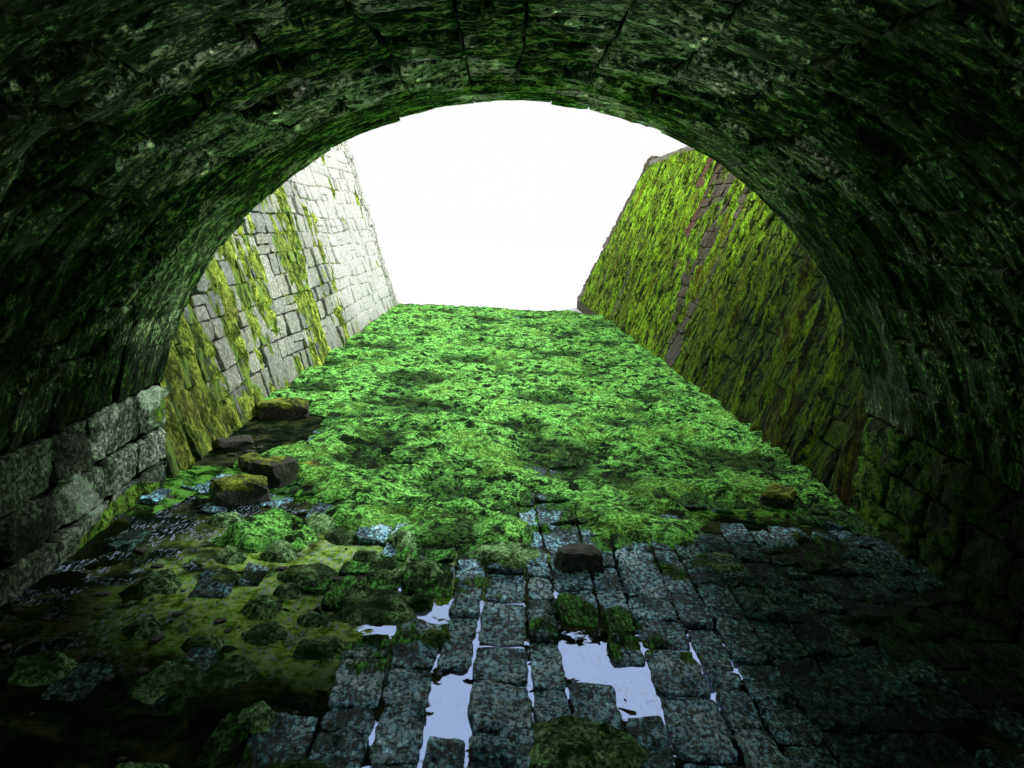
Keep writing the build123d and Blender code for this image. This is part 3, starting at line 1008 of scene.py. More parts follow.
@made_once
def stone_material(name, colour, scale=1.0, moss=None, shade=None, contrast=1.0, fleck=0.35, rough=(0.62, 0.9),
                   wet_rough=0.28, wet_dark=0.45, bump=0.8, depth=0.012, specular=0.4, ior=1.45, fixed_moss=None,
                   streaked=None, bleached=None, bleach_edge=(0.0, 1.0), grey=1.0, grit=(0.45, 1.15), hues=None,
                   pitted=0.6, dull=0.0, glint=(2.4, 2.2, 2.4), stretch=None, mottled=0.0):
    """Weathered stone with mottling, grain, pale flecks, dampness and moss; dark pits with painted glints; a stain
    colour where one is given, which on the left wing is painted sunlight; and painted shade.
    """
    colours = bpy.context.scene.headwall_colours
    finish = Finish(name)
    place = finish.place
    grain = stone_grain(place, scale)
    mottle, height, damp = grain["Mottle"], grain["Height"], finish.carried("damp")
    spread = finish.carried("tone") * (0.5 - 0.15 * mottled) + mottle * 0.75 + (mottle - 0.5) * (mottled * 2.0)
    base = spread.ramp(*zip((0.3, 0.52, 0.7, 0.88), hues or (
        tinted(colour, 1 - 0.5 * contrast), colour, tinted(colour, 1 + 0.25 * contrast, 0.25 * grey),
        tinted(colour, 1 + 0.6 * contrast, 0.35 * grey))))
    worn = grain["Grain"].ramp((0.43, grit[0]), (0.5, (grit[0] + grit[1]) * 0.42), (0.57, grit[1] * 1.2))
    base = blend(0.95, base, worn, "MULTIPLY")
    base = blend(grain["Fleck"] * fleck, base, tinted(colour, 2.2, 0.5 * grey))
    # A stain colour where one is given; on the left wing it is painted sunlight.
    if bleached:
        pale = blend(0.82, blend(1.0, worn, bleached, "MULTIPLY"), bleached)
        spotted = (mottle - 0.5) * (4.0 * bleach_edge[0])
        base = blend((finish.carried("bleach") + spotted).mapped(*bleach_edge, smooth=False), base, pale)
    base = blend(damp * wet_dark, base, tinted(colour, 0.12))
    amount = finish.carried("moss") if fixed_moss is None else mottle + (fixed_moss - 0.5)
    drawn_out = place.stretched(stretch) if stretch else place
    growth = moss_growth(drawn_out, amount, moss or tuple(colours.moss), shade or tuple(colours.moss_shade))
    mask = growth["Mask"]
    base = blend(mask, base, growth["Colour"])
    # Dark pits, and painted glints of the glint colour.
    pits_and_glints = drawn_out.noise(64.0, 5.0, 0.75)
    base = blend(pitted, base, pits_and_glints.ramp((0.43, (0.2, 0.27, 0.17)), (0.49, (0.7, 0.74, 0.68)),
                                         (0.54, tuple(0.6 * g for g in glint)), (0.6, glint)), "MULTIPLY")
    height = height + pits_and_glints * 0.8
    # Cleft streaks round the arc, with painted highlights on their ridges and painted shade in their hollows, and finer
    # flakes of painted highlight and shade; the streaks also give the relief.
    if streaked:
        cleft = place.stretched(streaked).noise(1.0, 8.0, 0.75, 0.1)
        base = blend(0.92, base, cleft.ramp((0.42, (0.05, 0.11, 0.05)), (0.48, (0.4, 0.5, 0.36)),
                                            (0.53, (1.5, 1.5, 1.45)), (0.59, (3.7, 3.6, 3.5))), "MULTIPLY")
        flake_light_and_shade = place.stretched((44.0, 120.0, 44.0)).noise(1.0, 5.0, 0.75)
        base = blend(0.9, base, flake_light_and_shade.ramp((0.43, (0.18, 0.28, 0.16)), (0.5, (0.8, 0.85, 0.76)),
                                           (0.57, (2.6, 2.5, 2.4))), "MULTIPLY")
        height = height * 0.4 + cleft * 1.2
    # Painted shade: the shade that each point carries draws the colour towards the dark tint.
    painted_shade = finish.carried("shade")
    base = blend(painted_shade, base, blend(1.0, base, PAINTED_SHADE_TINT, "MULTIPLY"))
    roughness = grain["Height"].mapped(0.3, 0.7, *rough) * (1.0 - damp) + damp * wet_rough
    roughness = roughness.at_least(mask * 0.92).at_least(painted_shade * dull)
    height = height + mask * (growth["Height"] * 1.3)
    return finish.given(base, height, bump, depth, {
        "Roughness": roughness, "Specular IOR Level": specular, "IOR": ior})


def outside_stone(name, colour, scale, contrast, fleck=0.4, **others):
    """Plain stone with the dull moss of the unseen sides."""
    return stone_material(name, colour, scale, OUTSIDE_MOSS, OUTSIDE_MOSS_SHADE, contrast, fleck, **others)


def vault_material(context):
    """The damp, cleft stone of the vault, with algae, painted highlights on the ridges of its bed and painted shade in
    its hollows.
    """
    return stone_material("vault_stone", tuple(context.scene.headwall_colours.vault), 1.2,
                          moss=linear(148, 204, 112), shade=linear(72, 114, 58), contrast=1.1, fleck=0.1,
                          rough=(0.3, 0.6), wet_rough=0.25, wet_dark=0.1, bump=1.0, depth=0.05, specular=0.5,
                          streaked=(7.5, 22.0, 7.5), grey=0.3, grit=(0.25, 1.5), pitted=0.8, ior=1.32,
                          stretch=(0.6, 1.25, 0.6), glint=(2.7, 2.6, 2.5))


def joint_material(name, colour, fixed_moss, ior=1.4):
    """Earth and old mortar behind the open joints."""
    return outside_stone(name, colour, 1.6, 0.8, 0.15, bump=1.0, depth=0.015, fixed_moss=fixed_moss, ior=ior)


@made_once
def sunlit_joint_material(name, dark, pale):
    """Earth between stones, dark by the mouth, with painted sunlight that makes it pale along the wall."""
    finish = Finish(name)
    place = finish.place
    reach = place.axis("Y") + place.axis("Z") * 0.55
    grain = stone_grain(place, 1.6)
    sunlit = reach.mapped(5.4, 7.0, 0.0, 0.95) * place.axis("X").mapped(-3.45, -3.3)
    base = blend(0.8, blend(sunlit, dark, pale), grain["Grain"].ramp((0.35, 0.5), (0.62, 1.2)), "MULTIPLY")
    return finish.given(base, grain["Height"], 1.0, 0.012, {"Roughness": 0.9})


@made_once
def moss_material(name, bright, deep, dry, stretch=(1.0, 1.0, 1.0), share=0.85, lean=0.0):
    """A shaggy cushion of moss: bright tips, dark depth and a few dry tufts, drawn out along a stretch."""
    finish = Finish(name)
    place = finish.place
    if lean:
        across = place.axis("Y") - place.axis("Z") * lean
        place = wired("ShaderNodeCombineXYZ", {"X": place.axis("X"), "Y": across, "Z": place.axis("Z")})
    place = place.stretched(stretch)
    growth = moss_growth(place, 1.0, bright, deep)
    colour = blend(place.noise(2.3, 4.0, 0.6, 0.4).mapped(0.5, 0.72, 0.0, 0.75), growth["Colour"], dry)
    fine = place.noise(56.0, 6.0, 0.82)
    colour = speckled(fine, colour, share, (0.12, 0.16, 0.1), (2.3, 1.7, 2.4))
    # Darker in its dips and underneath: partly deeper moss, partly painted shade; then darkened by the painted shade
    # that each point carries.
    colour = blend(finish.carried("hollow") * 0.85, colour, tinted(deep, 0.5))
    colour = blend(finish.carried("shade"), colour, blend(1.0, colour, (0.1, 0.1, 0.08), "MULTIPLY"))
    return finish.given(colour, growth["Height"] + fine * 0.5, 1.0, 0.012, {
        "Roughness": 0.95, "Specular IOR Level": 0.15})


@made_once
def wet_bed_material(name):
    """Silt under a skin of water between the setts, with algae, moss that grows out of it beyond the mouth, a painted
    reflection of the sky in its pools and painted glints.
    """
    finish = Finish(name)
    place = finish.place
    across, outward = place.axis("X"), place.axis("Y")
    silt = place.noise(7.0, 5.0, 0.65, 0.5)
    base = silt.ramp((0.42, linear(16, 26, 16)), (0.52, linear(34, 46, 30)), (0.62, linear(70, 76, 44)))
    patch = place.noise(3.2, 4.0, 0.6, 0.4)
    amount = outward.mapped(-0.7, 0.3) * 0.75 + (patch - 0.38)
    amount = amount - across.mapped(-1.55, -1.3, 1.2, 0.0) * outward.mapped(1.4, 2.2, 1.0, 0.0)
    growth = moss_growth(place, amount, FLOOR_MOSS, FLOOR_MOSS_SHADE)
    mask = growth["Mask"]

    algae = place.distance(SHALLOW).mapped(0.45, 1.0, 1.0, 0.0) * patch.mapped(0.4, 0.52)
    base = blend(algae, base, place.noise(16.0, 7.0, 0.82).ramp(
        (0.43, linear(84, 128, 36)), (0.5, linear(170, 228, 84)), (0.57, linear(208, 238, 160))))

    # A painted reflection of the sky where the pools lie open.
    shore = 10.0
    for x, y, radius in SKY_POOLS:
        shore = (place.distance((x, y, FLOOR)) / radius).at_most(shore)
    shore = shore + (place.noise(9.0, 4.0, 0.6, 0.4) - 0.5) * 3.2
    sky_reflection = shore.mapped(0.95, 1.05, 1.0, 0.0) * (1.0 - mask)
    base = blend(sky_reflection, base, linear(176, 204, 255))

    # Painted glints on the water near the places given.
    glint_reach = 0.0
    for x, y, full, none in GLINT_PLACES:
        glint_reach = place.distance((x, y, FLOOR)).mapped(full, none, 1.0, 0.0).at_least(glint_reach)
    glint = place.stretched((64.0, 19.0, 64.0)).noise(1.0, 4.0, 0.7, 0.9).mapped(0.54, 0.6)
    glint = glint * glint_reach * place.noise(4.5, 3.0, 0.6, 0.5).mapped(0.42, 0.56)
    base = blend(glint, base, linear(170, 190, 220))

    fine = place.noise(56.0, 6.0, 0.82)
    base = blend(mask, base, speckled(fine, growth["Colour"], 0.85, (0.15, 0.22, 0.12), (2.0, 1.6, 2.0)))
    ripple = place.noise(26.0, 3.0, 0.6) * across.mapped(-1.2, -0.7, 0.9, 0.07)
    return finish.given(base, ripple + mask * growth["Height"], 0.7, 0.012, {
        "Roughness": calculated("ADD", silt.mapped(0.6, 0.8, 0.03, 0.12), mask * 0.85, True),
        "Metallic": sky_reflection * 0.62, "Specular IOR Level": 0.0})


@made_once
def silt_material(name):
    """Dark wet silt with grit, mould and a little green."""
    finish = Finish(name)
    place = finish.place
    grit = place.noise(70.0, 4.0, 0.75)
    base = place.noise(3.0, 4.0, 0.6, 0.4).ramp(
        (0.4, linear(14, 22, 12)), (0.5, linear(30, 40, 22)), (0.6, linear(60, 76, 36)))
    base = blend(0.8, base, grit.ramp((0.35, 0.4), (0.65, (1.7, 1.6, 1.4))), "MULTIPLY")
    amount = place.axis("Y").mapped(-0.9, 0.2) * 0.8 + (place.noise(3.4, 4.0, 0.6, 0.4) - 0.3)
    growth = moss_growth(place, amount, FLOOR_MOSS, FLOOR_MOSS_SHADE)
    mask = growth["Mask"]
    return finish.given(blend(mask, base, growth["Colour"]), grit + mask * growth["Height"], 0.9, 0.008, {
        "Roughness": grit.mapped(0.3, 0.7, 0.3, 0.7).at_least(mask * 0.92), "Specular IOR Level": 0.0})


# Pieces

def dress(material, names):
    """Gives CAD nodes their finish."""
    for name in names:
        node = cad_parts[name]
        node.data.materials.clear()
        node.data.materials.append(material)


class HEADWALL_OT_finishes(bpy.types.Operator):
    """Give every solid of the frame the finish that shows between the stones"""

    bl_idname = "headwall.finishes"
    bl_label = "Joints and Beds"

    def execute(self, context):
        names = set(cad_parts)
        vault = {n for n in names if n.startswith(("vault_", "springer_", "voussoirs_", "keystone", "abutment_"))}
        vault.remove("abutment_footings")
        floor = {"barrel_paving", "mouth_sill", "apron", "apron_end_sill"}
        # Near-black earth behind the vault's joints and its open gap: painted shade.
        dress(joint_material("vault_joint_earth", (0.002, 0.003, 0.0015), 0.0, 1.08), vault)
        dress(wet_bed_material("wet_silt_bed"), floor)
        dress(joint_material("wall_joint_earth", (0.045, 0.04, 0.026), 0.42), names - vault - floor)
        sunlit = sunlit_joint_material("sunlit_joint_earth", (0.05, 0.05, 0.035), linear(248, 247, 240))
        dress(sunlit, ["wing_wall_left"])
        return {"FINISHED"}


class HEADWALL_OT_vault(bpy.types.Operator):
    """Lay the cleft stones of the soffit, with the stone that has fallen out left open"""

    bl_idname = "headwall.vault"
    bl_label = "Vault Soffit"

    def execute(self, context):
        sizes = context.scene.headwall_sizes
        rng = random.Random(1871)
        material = vault_material(context)

        def kept(quad, rng):
            u, v = middle(quad)
            inward, round_arch, half_length, half_width = FALLEN_OUT
            return not (abs(u - inward) < half_length and abs(v - round_arch) < half_width)

        levels = divided(ARC_START, ARC_END, sizes.vault_course, 0.25, rng)
        for part, start, end, dressing, splits, keep in (
            ("near", 0.6, 3.2, CLEFT, 0.12, kept),
            ("far", 3.2, -BARREL_END, CLEFT_FAR, 0.0, None),
        ):
            limits = square_limits(start, end)
            stones = laid(levels, limits, sizes.vault_stone, dressing, rng, 0.35, 0.02, 0.0, splits, keep)
            lay(f"vault_stones_{part}", SOFFIT, stones, material, "vault_slabs", sizes.joint, vault_moss, vault_damp,
                vault_painted_shade)
        return {"FINISHED"}


class HEADWALL_OT_ring(bpy.types.Operator):
    """Lay the soffit and the front of the arch ring's voussoirs, and the keystone"""

    bl_idname = "headwall.ring"
    bl_label = "Face Ring"

    def execute(self, context):
        sizes = context.scene.headwall_sizes
        rng = random.Random(23)
        top = SPRINGER_TOP * ARCH_RADIUS
        step = (math.pi - 2 * SPRINGER_TOP) * ARCH_RADIUS / RING_STONES
        joints = [ARC_START, top - 0.2]
        joints += [top + step * number for number in range(RING_STONES + 1)]
        joints += [math.pi * ARCH_RADIUS - top + 0.2, ARC_END]
        under = []
        number = 0
        while number < len(joints) - 1:
            wide = 2 if 1 < number < len(joints) - 3 and rng.random() < 0.45 else 1
            low, high = joints[number], joints[number + wide]
            back = 0.6 + rng.uniform(-0.05, 0.05)
            corners = [(-EMBED, low), (back, low), (back, high), (-EMBED, high)]
            under.append(Stone(corners, RING_SOFFIT, rng))
            number += wide
        lay("ring_soffit_stones", SOFFIT, under, vault_material(context), "ring_stone", sizes.joint, vault_moss,
            vault_damp, vault_painted_shade)
        front = []
        for low, high in zip(joints, joints[1:]):
            key = abs((low + high) / 2 - math.pi * ARCH_RADIUS / 2) < 0.02
            reach = RING_DEPTH + (KEYSTONE_RISE if key else 0.0)
            corners = [(low, 0.002), (high, 0.002), (high, reach), (low, reach)]
            front.append(Stone(corners, RING_FRONT, rng, KEYSTONE_PROUD if key else None))
        dry = outside_stone("ring_face_stone", tuple(context.scene.headwall_colours.brown), 1.1, 1.0, 0.35)
        lay("ring_face_stones", RingFace(0.0, 1), front, dry, "ring_stone", sizes.joint, outside_moss,
            shade=under_shade)
        return {"FINISHED"}


class HEADWALL_OT_abutments(bpy.types.Operator):
    """Lay the three ashlar courses of the abutments inside the barrel"""

    bl_idname = "headwall.abutments"
    bl_label = "Abutments"

    def execute(self, context):
        sizes = context.scene.headwall_sizes
        levels = [-LAP]
        levels += [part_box(f"abutment_left_{course}_course")[1].z - FLOOR for course in ("base", "middle", "top")]
        for hand, side, colour, cover in (
            ("left", LEFT, linear(134, 156, 132), waterline_moss),
            ("right", RIGHT, linear(98, 130, 56), dark_side_moss),
        ):
            rng = random.Random(40 + side)
            limits = span(side, 0.0, -BARREL_END)
            stones = laid(levels, limits, sizes.ashlar_stone, ASHLAR, rng, 0.3, 0.006)
            material = stone_material(f"ashlar_{hand}", colour, 1.1, contrast=1.5, fleck=0.6, wet_rough=0.3,
                                      wet_dark=0.35, bleached=linear(214, 246, 214), grit=(0.2, 1.7),
                                      moss=linear(140, 196, 76), shade=linear(40, 64, 20), depth=0.03, bump=1.0,
                                      pitted=0.35, dull=0.8, ior=1.25, glint=(2.8, 2.9, 2.5), mottled=1.0,
                                      bleach_edge=(0.35, 0.6))
            lay(f"ashlar_stones_{hand}", looking_aside(-side, -HALF_SPAN), stones, material, "ashlar", sizes.joint,
                cover, wall_damp, abutment_shade, lime)
        return {"FINISHED"}


class HEADWALL_OT_floor(bpy.types.Operator):
    """Lay the setts of the barrel, the sill and the apron, in rows along the axis"""

    bl_idname = "headwall.floor"
    bl_label = "Setts"

    def execute(self, context):
        sizes = context.scene.headwall_sizes
        rng = random.Random(77)
        facing = looking_up(FLOOR)

        def out_of_silt(quad, rng):
            y, left = middle(quad)
            silt = 0.84 * fall(-left, -1.15, 0.75) * fall(y, -0.7, 0.8)
            pool = max(0.78 * near_any(POOLS, -left, y), 1.2 * still_water(-left, y))
            return rng.random() > max(silt, pool) + 0.02

        def clear_of_runnel(quad, rng):
            y, left = middle(quad)
            return runnel(-left, y) < 0.35

        def apron(v):
            return (FINE_SETTS[1], min(LEFT_END, max(0.2, (WING_FOOT + v) / RIGHT_TURN)))

        # The wet setts, with bluish painted glints and the painted sheen of their colour.
        wet = stone_material("sett_stone", tuple(context.scene.headwall_colours.sett), 1.3, contrast=1.5,
                             moss=FLOOR_MOSS, shade=FLOOR_MOSS_SHADE, fleck=0.3, wet_rough=0.2, wet_dark=0.15,
                             bump=1.0, depth=0.03, specular=0.5, pitted=0.65, dull=0.95, grit=(0.2, 1.8), ior=1.3,
                             glint=(3.0, 4.2, 5.4), mottled=0.8, stretch=(1.1, 0.4, 1.1), grey=0.3)
        # A darker copy of the setts for the far part of the barrel: painted shade.
        shaded_setts = stone_material("sett_stone_inside", linear(74, 88, 82), 1.3, moss=FLOOR_MOSS_SHADE,
                             shade=(0.004, 0.01, 0.004), fleck=0.2, wet_rough=0.2, wet_dark=0.3, ior=1.3)
        inside = divided(-HALF_SPAN, HALF_SPAN, sizes.sett_width, 0.3, rng)

        def setts(name, levels, limits, longer, dressing, material, spread, sway, keep):
            stones = laid(levels, limits, sizes.sett_length * longer, dressing, rng, spread, sway, keep=keep)
            lay(name, facing, stones, material, "setts", sizes.joint, floor_moss, floor_damp, floor_painted_shade)

        setts("barrel_setts", inside, square_limits(*FINE_SETTS), 1.0, SETT, wet, 0.5, 0.028, out_of_silt)
        setts("barrel_setts_far", inside, square_limits(BARREL_END, FINE_SETTS[0]), 1.0, SETT_COARSE, shaded_setts, 0.5, 0.028,
              out_of_silt)
        outside = divided(-WING_FOOT, WING_FOOT, sizes.sett_width * 1.2, 0.2, rng)
        setts("apron_setts", outside, apron, 1.2, SETT_COARSE, wet, 0.35, 0.012, clear_of_runnel)
        heap("silt_between_setts", facing, (BARREL_END + LAP, 0.3), (LAP - HALF_SPAN, HALF_SPAN - LAP), (0.04, 0.04),
             silt_depth, silt_material("wet_silt"), "setts")
        return {"FINISHED"}


class HEADWALL_OT_wings(bpy.types.Operator):
    """Lay the squared rubble of the battered wing walls' faces"""

    bl_idname = "headwall.wings"
    bl_label = "Wing Walls"

    def execute(self, context):
        sizes = context.scene.headwall_sizes
        colours = context.scene.headwall_colours
        hues = (linear(128, 142, 144), tinted(tuple(colours.grey), 0.75), linear(210, 214, 188),
                linear(232, 236, 222))
        # Its pale colour is painted sunlight on the far, upper part of the wing.
        grey = stone_material("wing_grey_stone", tuple(colours.grey), 1.0, fleck=0.4, wet_dark=0.3,
                              bleached=linear(254, 253, 248), grit=(0.6, 1.2), pitted=0.3, stretch=(0.4, 1.0, 0.4),
                              moss=linear(160, 200, 84), hues=hues)
        brown = stone_material("wing_mossy_stone", tuple(colours.brown), 1.0, contrast=0.9, fleck=0.35, wet_dark=0.3,
                               bleached=linear(132, 78, 58), grit=(0.2, 1.5), moss=linear(150, 192, 52),
                               shade=linear(50, 58, 18), depth=0.02, pitted=0.7, stretch=(0.35, 1.0, 0.35), ior=1.25)
        for wing, material, dressing, cover, shade, bleach in (
            (WINGS[0], grey, SQUARED, left_wing_film, left_wing_shade, painted_sunlight),
            (WINGS[1], brown, SQUARED_COARSE, right_wing_film, right_wing_shade, right_wing_strip),
        ):
            rng = random.Random(300 + wing.side)
            limits = span(-wing.side, 0.0, wing.end_start * math.sqrt(1 + wing.turn ** 2))
            levels = [-0.04] + divided(0.25, wing.slope, sizes.rubble_course, 0.22, rng)
            stones = laid(levels, limits, sizes.rubble_stone, dressing, rng, 0.4, 0.02, 0.16, 0.1)
            lay(f"wing_face_stones_{wing.hand}", wing.face, stones, material, wing.slot, sizes.joint, cover,
                wall_damp, shade, bleach)
        return {"FINISHED"}


class HEADWALL_OT_wing_ends(bpy.types.Operator):
    """Lay the large quoins that end the wings, on their faces, their ends and their tops"""

    bl_idname = "headwall.wing_ends"
    bl_label = "Wing Ends"

    def execute(self, context):
        gap = context.scene.headwall_sizes.joint
        colours = context.scene.headwall_colours
        grey, brown = tuple(colours.grey), tuple(colours.brown)
        course, spread, top = 0.31, 0.08, WING_END_TOP - FLOOR
        for wing, colour, quoin in ((WINGS[0], grey, tinted(grey, 0.5)), (WINGS[1], brown, brown)):
            side, start, end = wing.side, wing.end_start, wing.end + LAP
            rng = random.Random(500 + side)
            inside = outside_stone(f"wing_end_stone_{wing.hand}", colour, 1.0, 0.8, wet_dark=0.3)
            material = outside_stone(f"wing_quoin_stone_{wing.hand}", quoin, 1.0, 0.8, wet_dark=0.3)
            foot = WING_FOOT - wing.turn * wing.end
            back = outer_edge(f"wing_end_{wing.hand}", side)
            outer = back + wing.turn * 0.3
            levels = divided(-0.04, wing.up_slope(WING_END_TOP), course, spread, rng)
            stones = laid(levels, span(-side, start, end), 0.42, ASHLAR, rng, 0.3, 0.003)
            lay(f"wing_end_face_{wing.hand}", wing.face, stones, inside, wing.slot, gap, outside_moss, wall_damp)
            across = between(-side, lambda z: foot + wing.batter * max(0.0, z - FLOOR), lambda z: back)
            stones = laid(divided(0.0, top, course, spread, rng), across, 0.5, ASHLAR, rng, 0.3, 0.003)
            lay(f"wing_end_front_{wing.hand}", looking_out(wing.end), stones, material, wing.slot, gap, outside_moss,
                wall_damp)
            edges = sorted(-side * reach for reach in (foot + wing.batter * top, outer))
            stones = laid(edges, square_limits(start, end), WING_END_LENGTH, ASHLAR, rng, 0.1, 0.0)
            lay(f"wing_end_top_{wing.hand}", looking_up(WING_END_TOP), stones, material, wing.slot, gap, outside_moss)
        return {"FINISHED"}


def barrel_outline(z):
    """Half the width of the barrel's masonry at a height, over its backing and its curved back."""
    if z < BACKING_OUTSIDE:
        return ABUTMENT_BACK
    if z < BACKING_INSIDE:
        share = (z - BACKING_OUTSIDE) / (BACKING_INSIDE - BACKING_OUTSIDE)
        return ABUTMENT_BACK + share * (BACKING_CROWN - ABUTMENT_BACK)
    return ring_outline(z)


def ring_outline(z):
    """Half the width of the arch ring's back at a height."""
    return math.sqrt(max(0.0, RING_RADIUS ** 2 - (z - ARCH_CENTRE) ** 2))


class Mason:
    """Lays plain rubble on the unseen sides, face after face from one run of random draws."""

    def __init__(self, context):
        brown = tuple(context.scene.headwall_colours.brown)
        self.wall = outside_stone("outside_rubble_stone", brown, 0.9, 0.9, wet_dark=0.3)
        self.rough = outside_stone("backing_rubble_stone", tinted(brown, 0.8), 0.9, 0.9, 0.3, wet_dark=0.3)
        self.block = outside_stone("footing_block_stone", tinted(brown, 0.72), 0.8, 0.8, 0.3, wet_dark=0.4)
        self.sizes = context.scene.headwall_sizes
        self.rng = random.Random(900)

    def courses(self, name, facing, low, high, limits, pitch=None, run=None, jumpers=0.12, splits=0.08,
                material=None, slot="wall_rubble"):
        """One face of coursed rubble between two levels."""
        sizes = self.sizes
        levels = divided(low, high, pitch or sizes.outside_course, 0.18, self.rng)
        stones = laid(levels, limits, run or sizes.outside_stone, OUTSIDE, self.rng, 0.35, 0.012, jumpers, splits)
        lay(name, facing, stones, material or self.wall, slot, sizes.joint, outside_moss, wall_damp)

    def headwall(self):
        """The front of the headwall round the ring, and its back beside and over the barrel."""
        front, back = looking_out(0.0), looking_in(WALL_BACK)
        ring_top = ARCH_CENTRE + RING_RADIUS - FLOOR
        wall_top = WALL_TOP - FLOOR
        for wing in WINGS:
            beside = between(-wing.side, ring_outline, lambda z: WING_FOOT + wing.batter * (z - FLOOR) + 0.03)
            self.courses(f"spandrel_stones_{wing.hand}", front, 0.95, ring_top, beside, 0.2, 0.36)
        over = square_limits(-WING_FOOT - RIGHT_BATTER * ring_top, WING_FOOT + LEFT_BATTER * ring_top + 0.03)
        self.courses("crown_stones", front, ring_top, wall_top, over, 0.2, 0.36)
        for hand, side in HANDS:
            pier = span(-side, outer_edge(f"wing_wall_{hand}", side) - LAP, WALL_END + LAP)
            self.courses(f"pier_stones_{hand}", front, 0.0, wall_top, pier, None, 0.34, 0.0)
        for hand, side in HANDS:
            beside = between(side, barrel_outline, lambda z: WALL_END + LAP)
            self.courses(f"headwall_back_{hand}", back, 0.0, ring_top, beside)
        self.courses("headwall_back_top", back, ring_top, wall_top, square_limits(-WALL_END - LAP, WALL_END + LAP))

    def barrel_back(self):
        """The headwall's ends, the barrel's flanks and backing, and the back of the vault."""
        slant_height = BACKING_INSIDE - BACKING_OUTSIDE
        for hand, side in HANDS:
            end = span(side, WALL_BACK - LAP, LAP)
            along = span(side, BARREL_END - LAP, WALL_BACK)
            self.courses(f"headwall_end_{hand}", looking_aside(side, WALL_END), 0.0, WALL_TOP - FLOOR, end, None,
                         0.34, 0.0)
            self.courses(f"barrel_flank_{hand}", looking_aside(side, ABUTMENT_BACK), 0.0, BACKING_OUTSIDE - FLOOR,
                         along)
            out = Vector((side * slant_height, 0, ABUTMENT_BACK - BACKING_CROWN))
            slant = Facing((side * ABUTMENT_BACK, 0, BACKING_OUTSIDE), (0, side, 0), out)
            self.courses(f"backing_stones_{hand}", slant, -LAP, out.length, along, 0.24, 0.34, material=self.rough,
                         slot="backing_rubble")
        edge = math.asin((BACKING_INSIDE - ARCH_CENTRE) / RING_RADIUS) * RING_RADIUS
        self.courses("vault_back_stones", Drum(RING_RADIUS, False), edge, math.pi * RING_RADIUS - edge,
                     square_limits(-WALL_BACK, -BARREL_END + LAP), 0.25, 0.42, material=self.rough,
                     slot="vault_slabs")

    def barrel_end(self):
        """The section of the barrel at its far end: the ring, the backing beside it and the abutments."""
        rng = self.rng
        ring = []
        cuts = divided(ARC_START, ARC_END, 0.27, 0.15, rng)
        for low, high in zip(cuts, cuts[1:]):
            share = rng.uniform(0.45, 0.75) * RING_DEPTH
            for near, far in ((-EMBED, share), (share, RING_DEPTH)):
                ring.append(Stone([(low, near), (high, near), (high, far), (low, far)], OUTSIDE, rng))
        lay("barrel_end_ring", RingFace(BARREL_END, -1), ring, self.wall, "vault_slabs", self.sizes.joint,
            outside_moss)
        end = looking_in(BARREL_END)
        spring, top = SPRINGING - FLOOR, BACKING_INSIDE - FLOOR
        for hand, side in HANDS:
            beside = between(side, ring_outline, barrel_outline)
            foot = span(side, HALF_SPAN - EMBED, ABUTMENT_BACK + LAP)
            self.courses(f"barrel_end_backing_{hand}", end, spring, top, beside, 0.19, 0.3, 0.0,
                         slot="backing_rubble")
            self.courses(f"barrel_end_abutment_{hand}", end, 0.0, spring, foot, 0.2, 0.42, 0.0, slot="ashlar")

    def wing_backs(self):
        """The upright backs of the wings and of their ends."""
        seat = WING_SEAT - FLOOR
        for wing in WINGS:
            side, end = wing.side, wing.end + LAP
            facing = looking_aside(side, outer_edge(f"wing_wall_{wing.hand}", side), turn=wing.turn)
            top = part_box(f"wing_end_{wing.hand}")[1].z - FLOOR
            self.courses(f"wing_back_stones_{wing.hand}", facing, 0.0, seat, span(side, 0.0, end), slot=wing.slot)
            self.courses(f"wing_end_back_{wing.hand}", facing, seat, top, span(side, wing.end_start, end), 0.2, 0.3,
                         0.0, 0.0, slot=wing.slot)

    def parapet(self):
        """The front and the back of the parapet, between its piers."""
        low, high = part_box("parapet_wall")
        run = square_limits(low.x - 0.01, high.x + 0.01)
        for name, facing in (("front", looking_out(high.y, low.z)), ("back", looking_in(low.y, low.z))):
            self.courses(f"parapet_{name}_stones", facing, 0.0, high.z - low.z, run, 0.19, 0.38)

    def footings(self):
        """Rough blocks on the sides of the footings and on the ends of the floors."""
        slabs = []
        for node, start, stop in (
            ("abutment_footings", BARREL_END, WALL_BACK),
            ("headwall_footings", WALL_BACK, 0.0),
            ("wing_footings", 0.0, None),
        ):
            for wing in WINGS:
                turn, end = (wing.turn, wing.end + FOOTING_TOE) if stop is None else (0.0, stop)
                facing = looking_aside(wing.side, outer_edge(node, wing.side), 0.0, turn)
                slabs.append((f"{node}_side_{wing.hand}", facing, span(wing.side, start, end)))
        inner, outer = outer_edge("abutment_footings", RIGHT), outer_edge("headwall_footings", RIGHT)
        slabs.append(("barrel_floor_end", looking_in(BARREL_END, 0.0), square_limits(-inner, inner)))
        for hand, side in HANDS:
            limits = span(side, inner, outer)
            slabs.append((f"headwall_footing_back_{hand}", looking_in(WALL_BACK, 0.0), limits))
        for hand, side in HANDS:
            limits = span(-side, outer_edge("wing_footings", side), outer)
            slabs.append((f"headwall_footing_front_{hand}", looking_out(0.0, 0.0), limits))
        across = square_limits(-WING_FOOT + RIGHT_TURN * LEFT_END, WING_FOOT)
        slabs.append(("apron_end_blocks", looking_out(LEFT_END, 0.0), across))
        for wing in WINGS:
            end = wing.end + FOOTING_TOE
            drift = wing.turn * end
            limits = span(-wing.side, WING_FOOT - drift, outer_edge("wing_footings", wing.side) - drift)
            slabs.append((f"wing_footing_end_{wing.hand}", looking_out(end, 0.0), limits))
        for name, facing, limits in slabs:
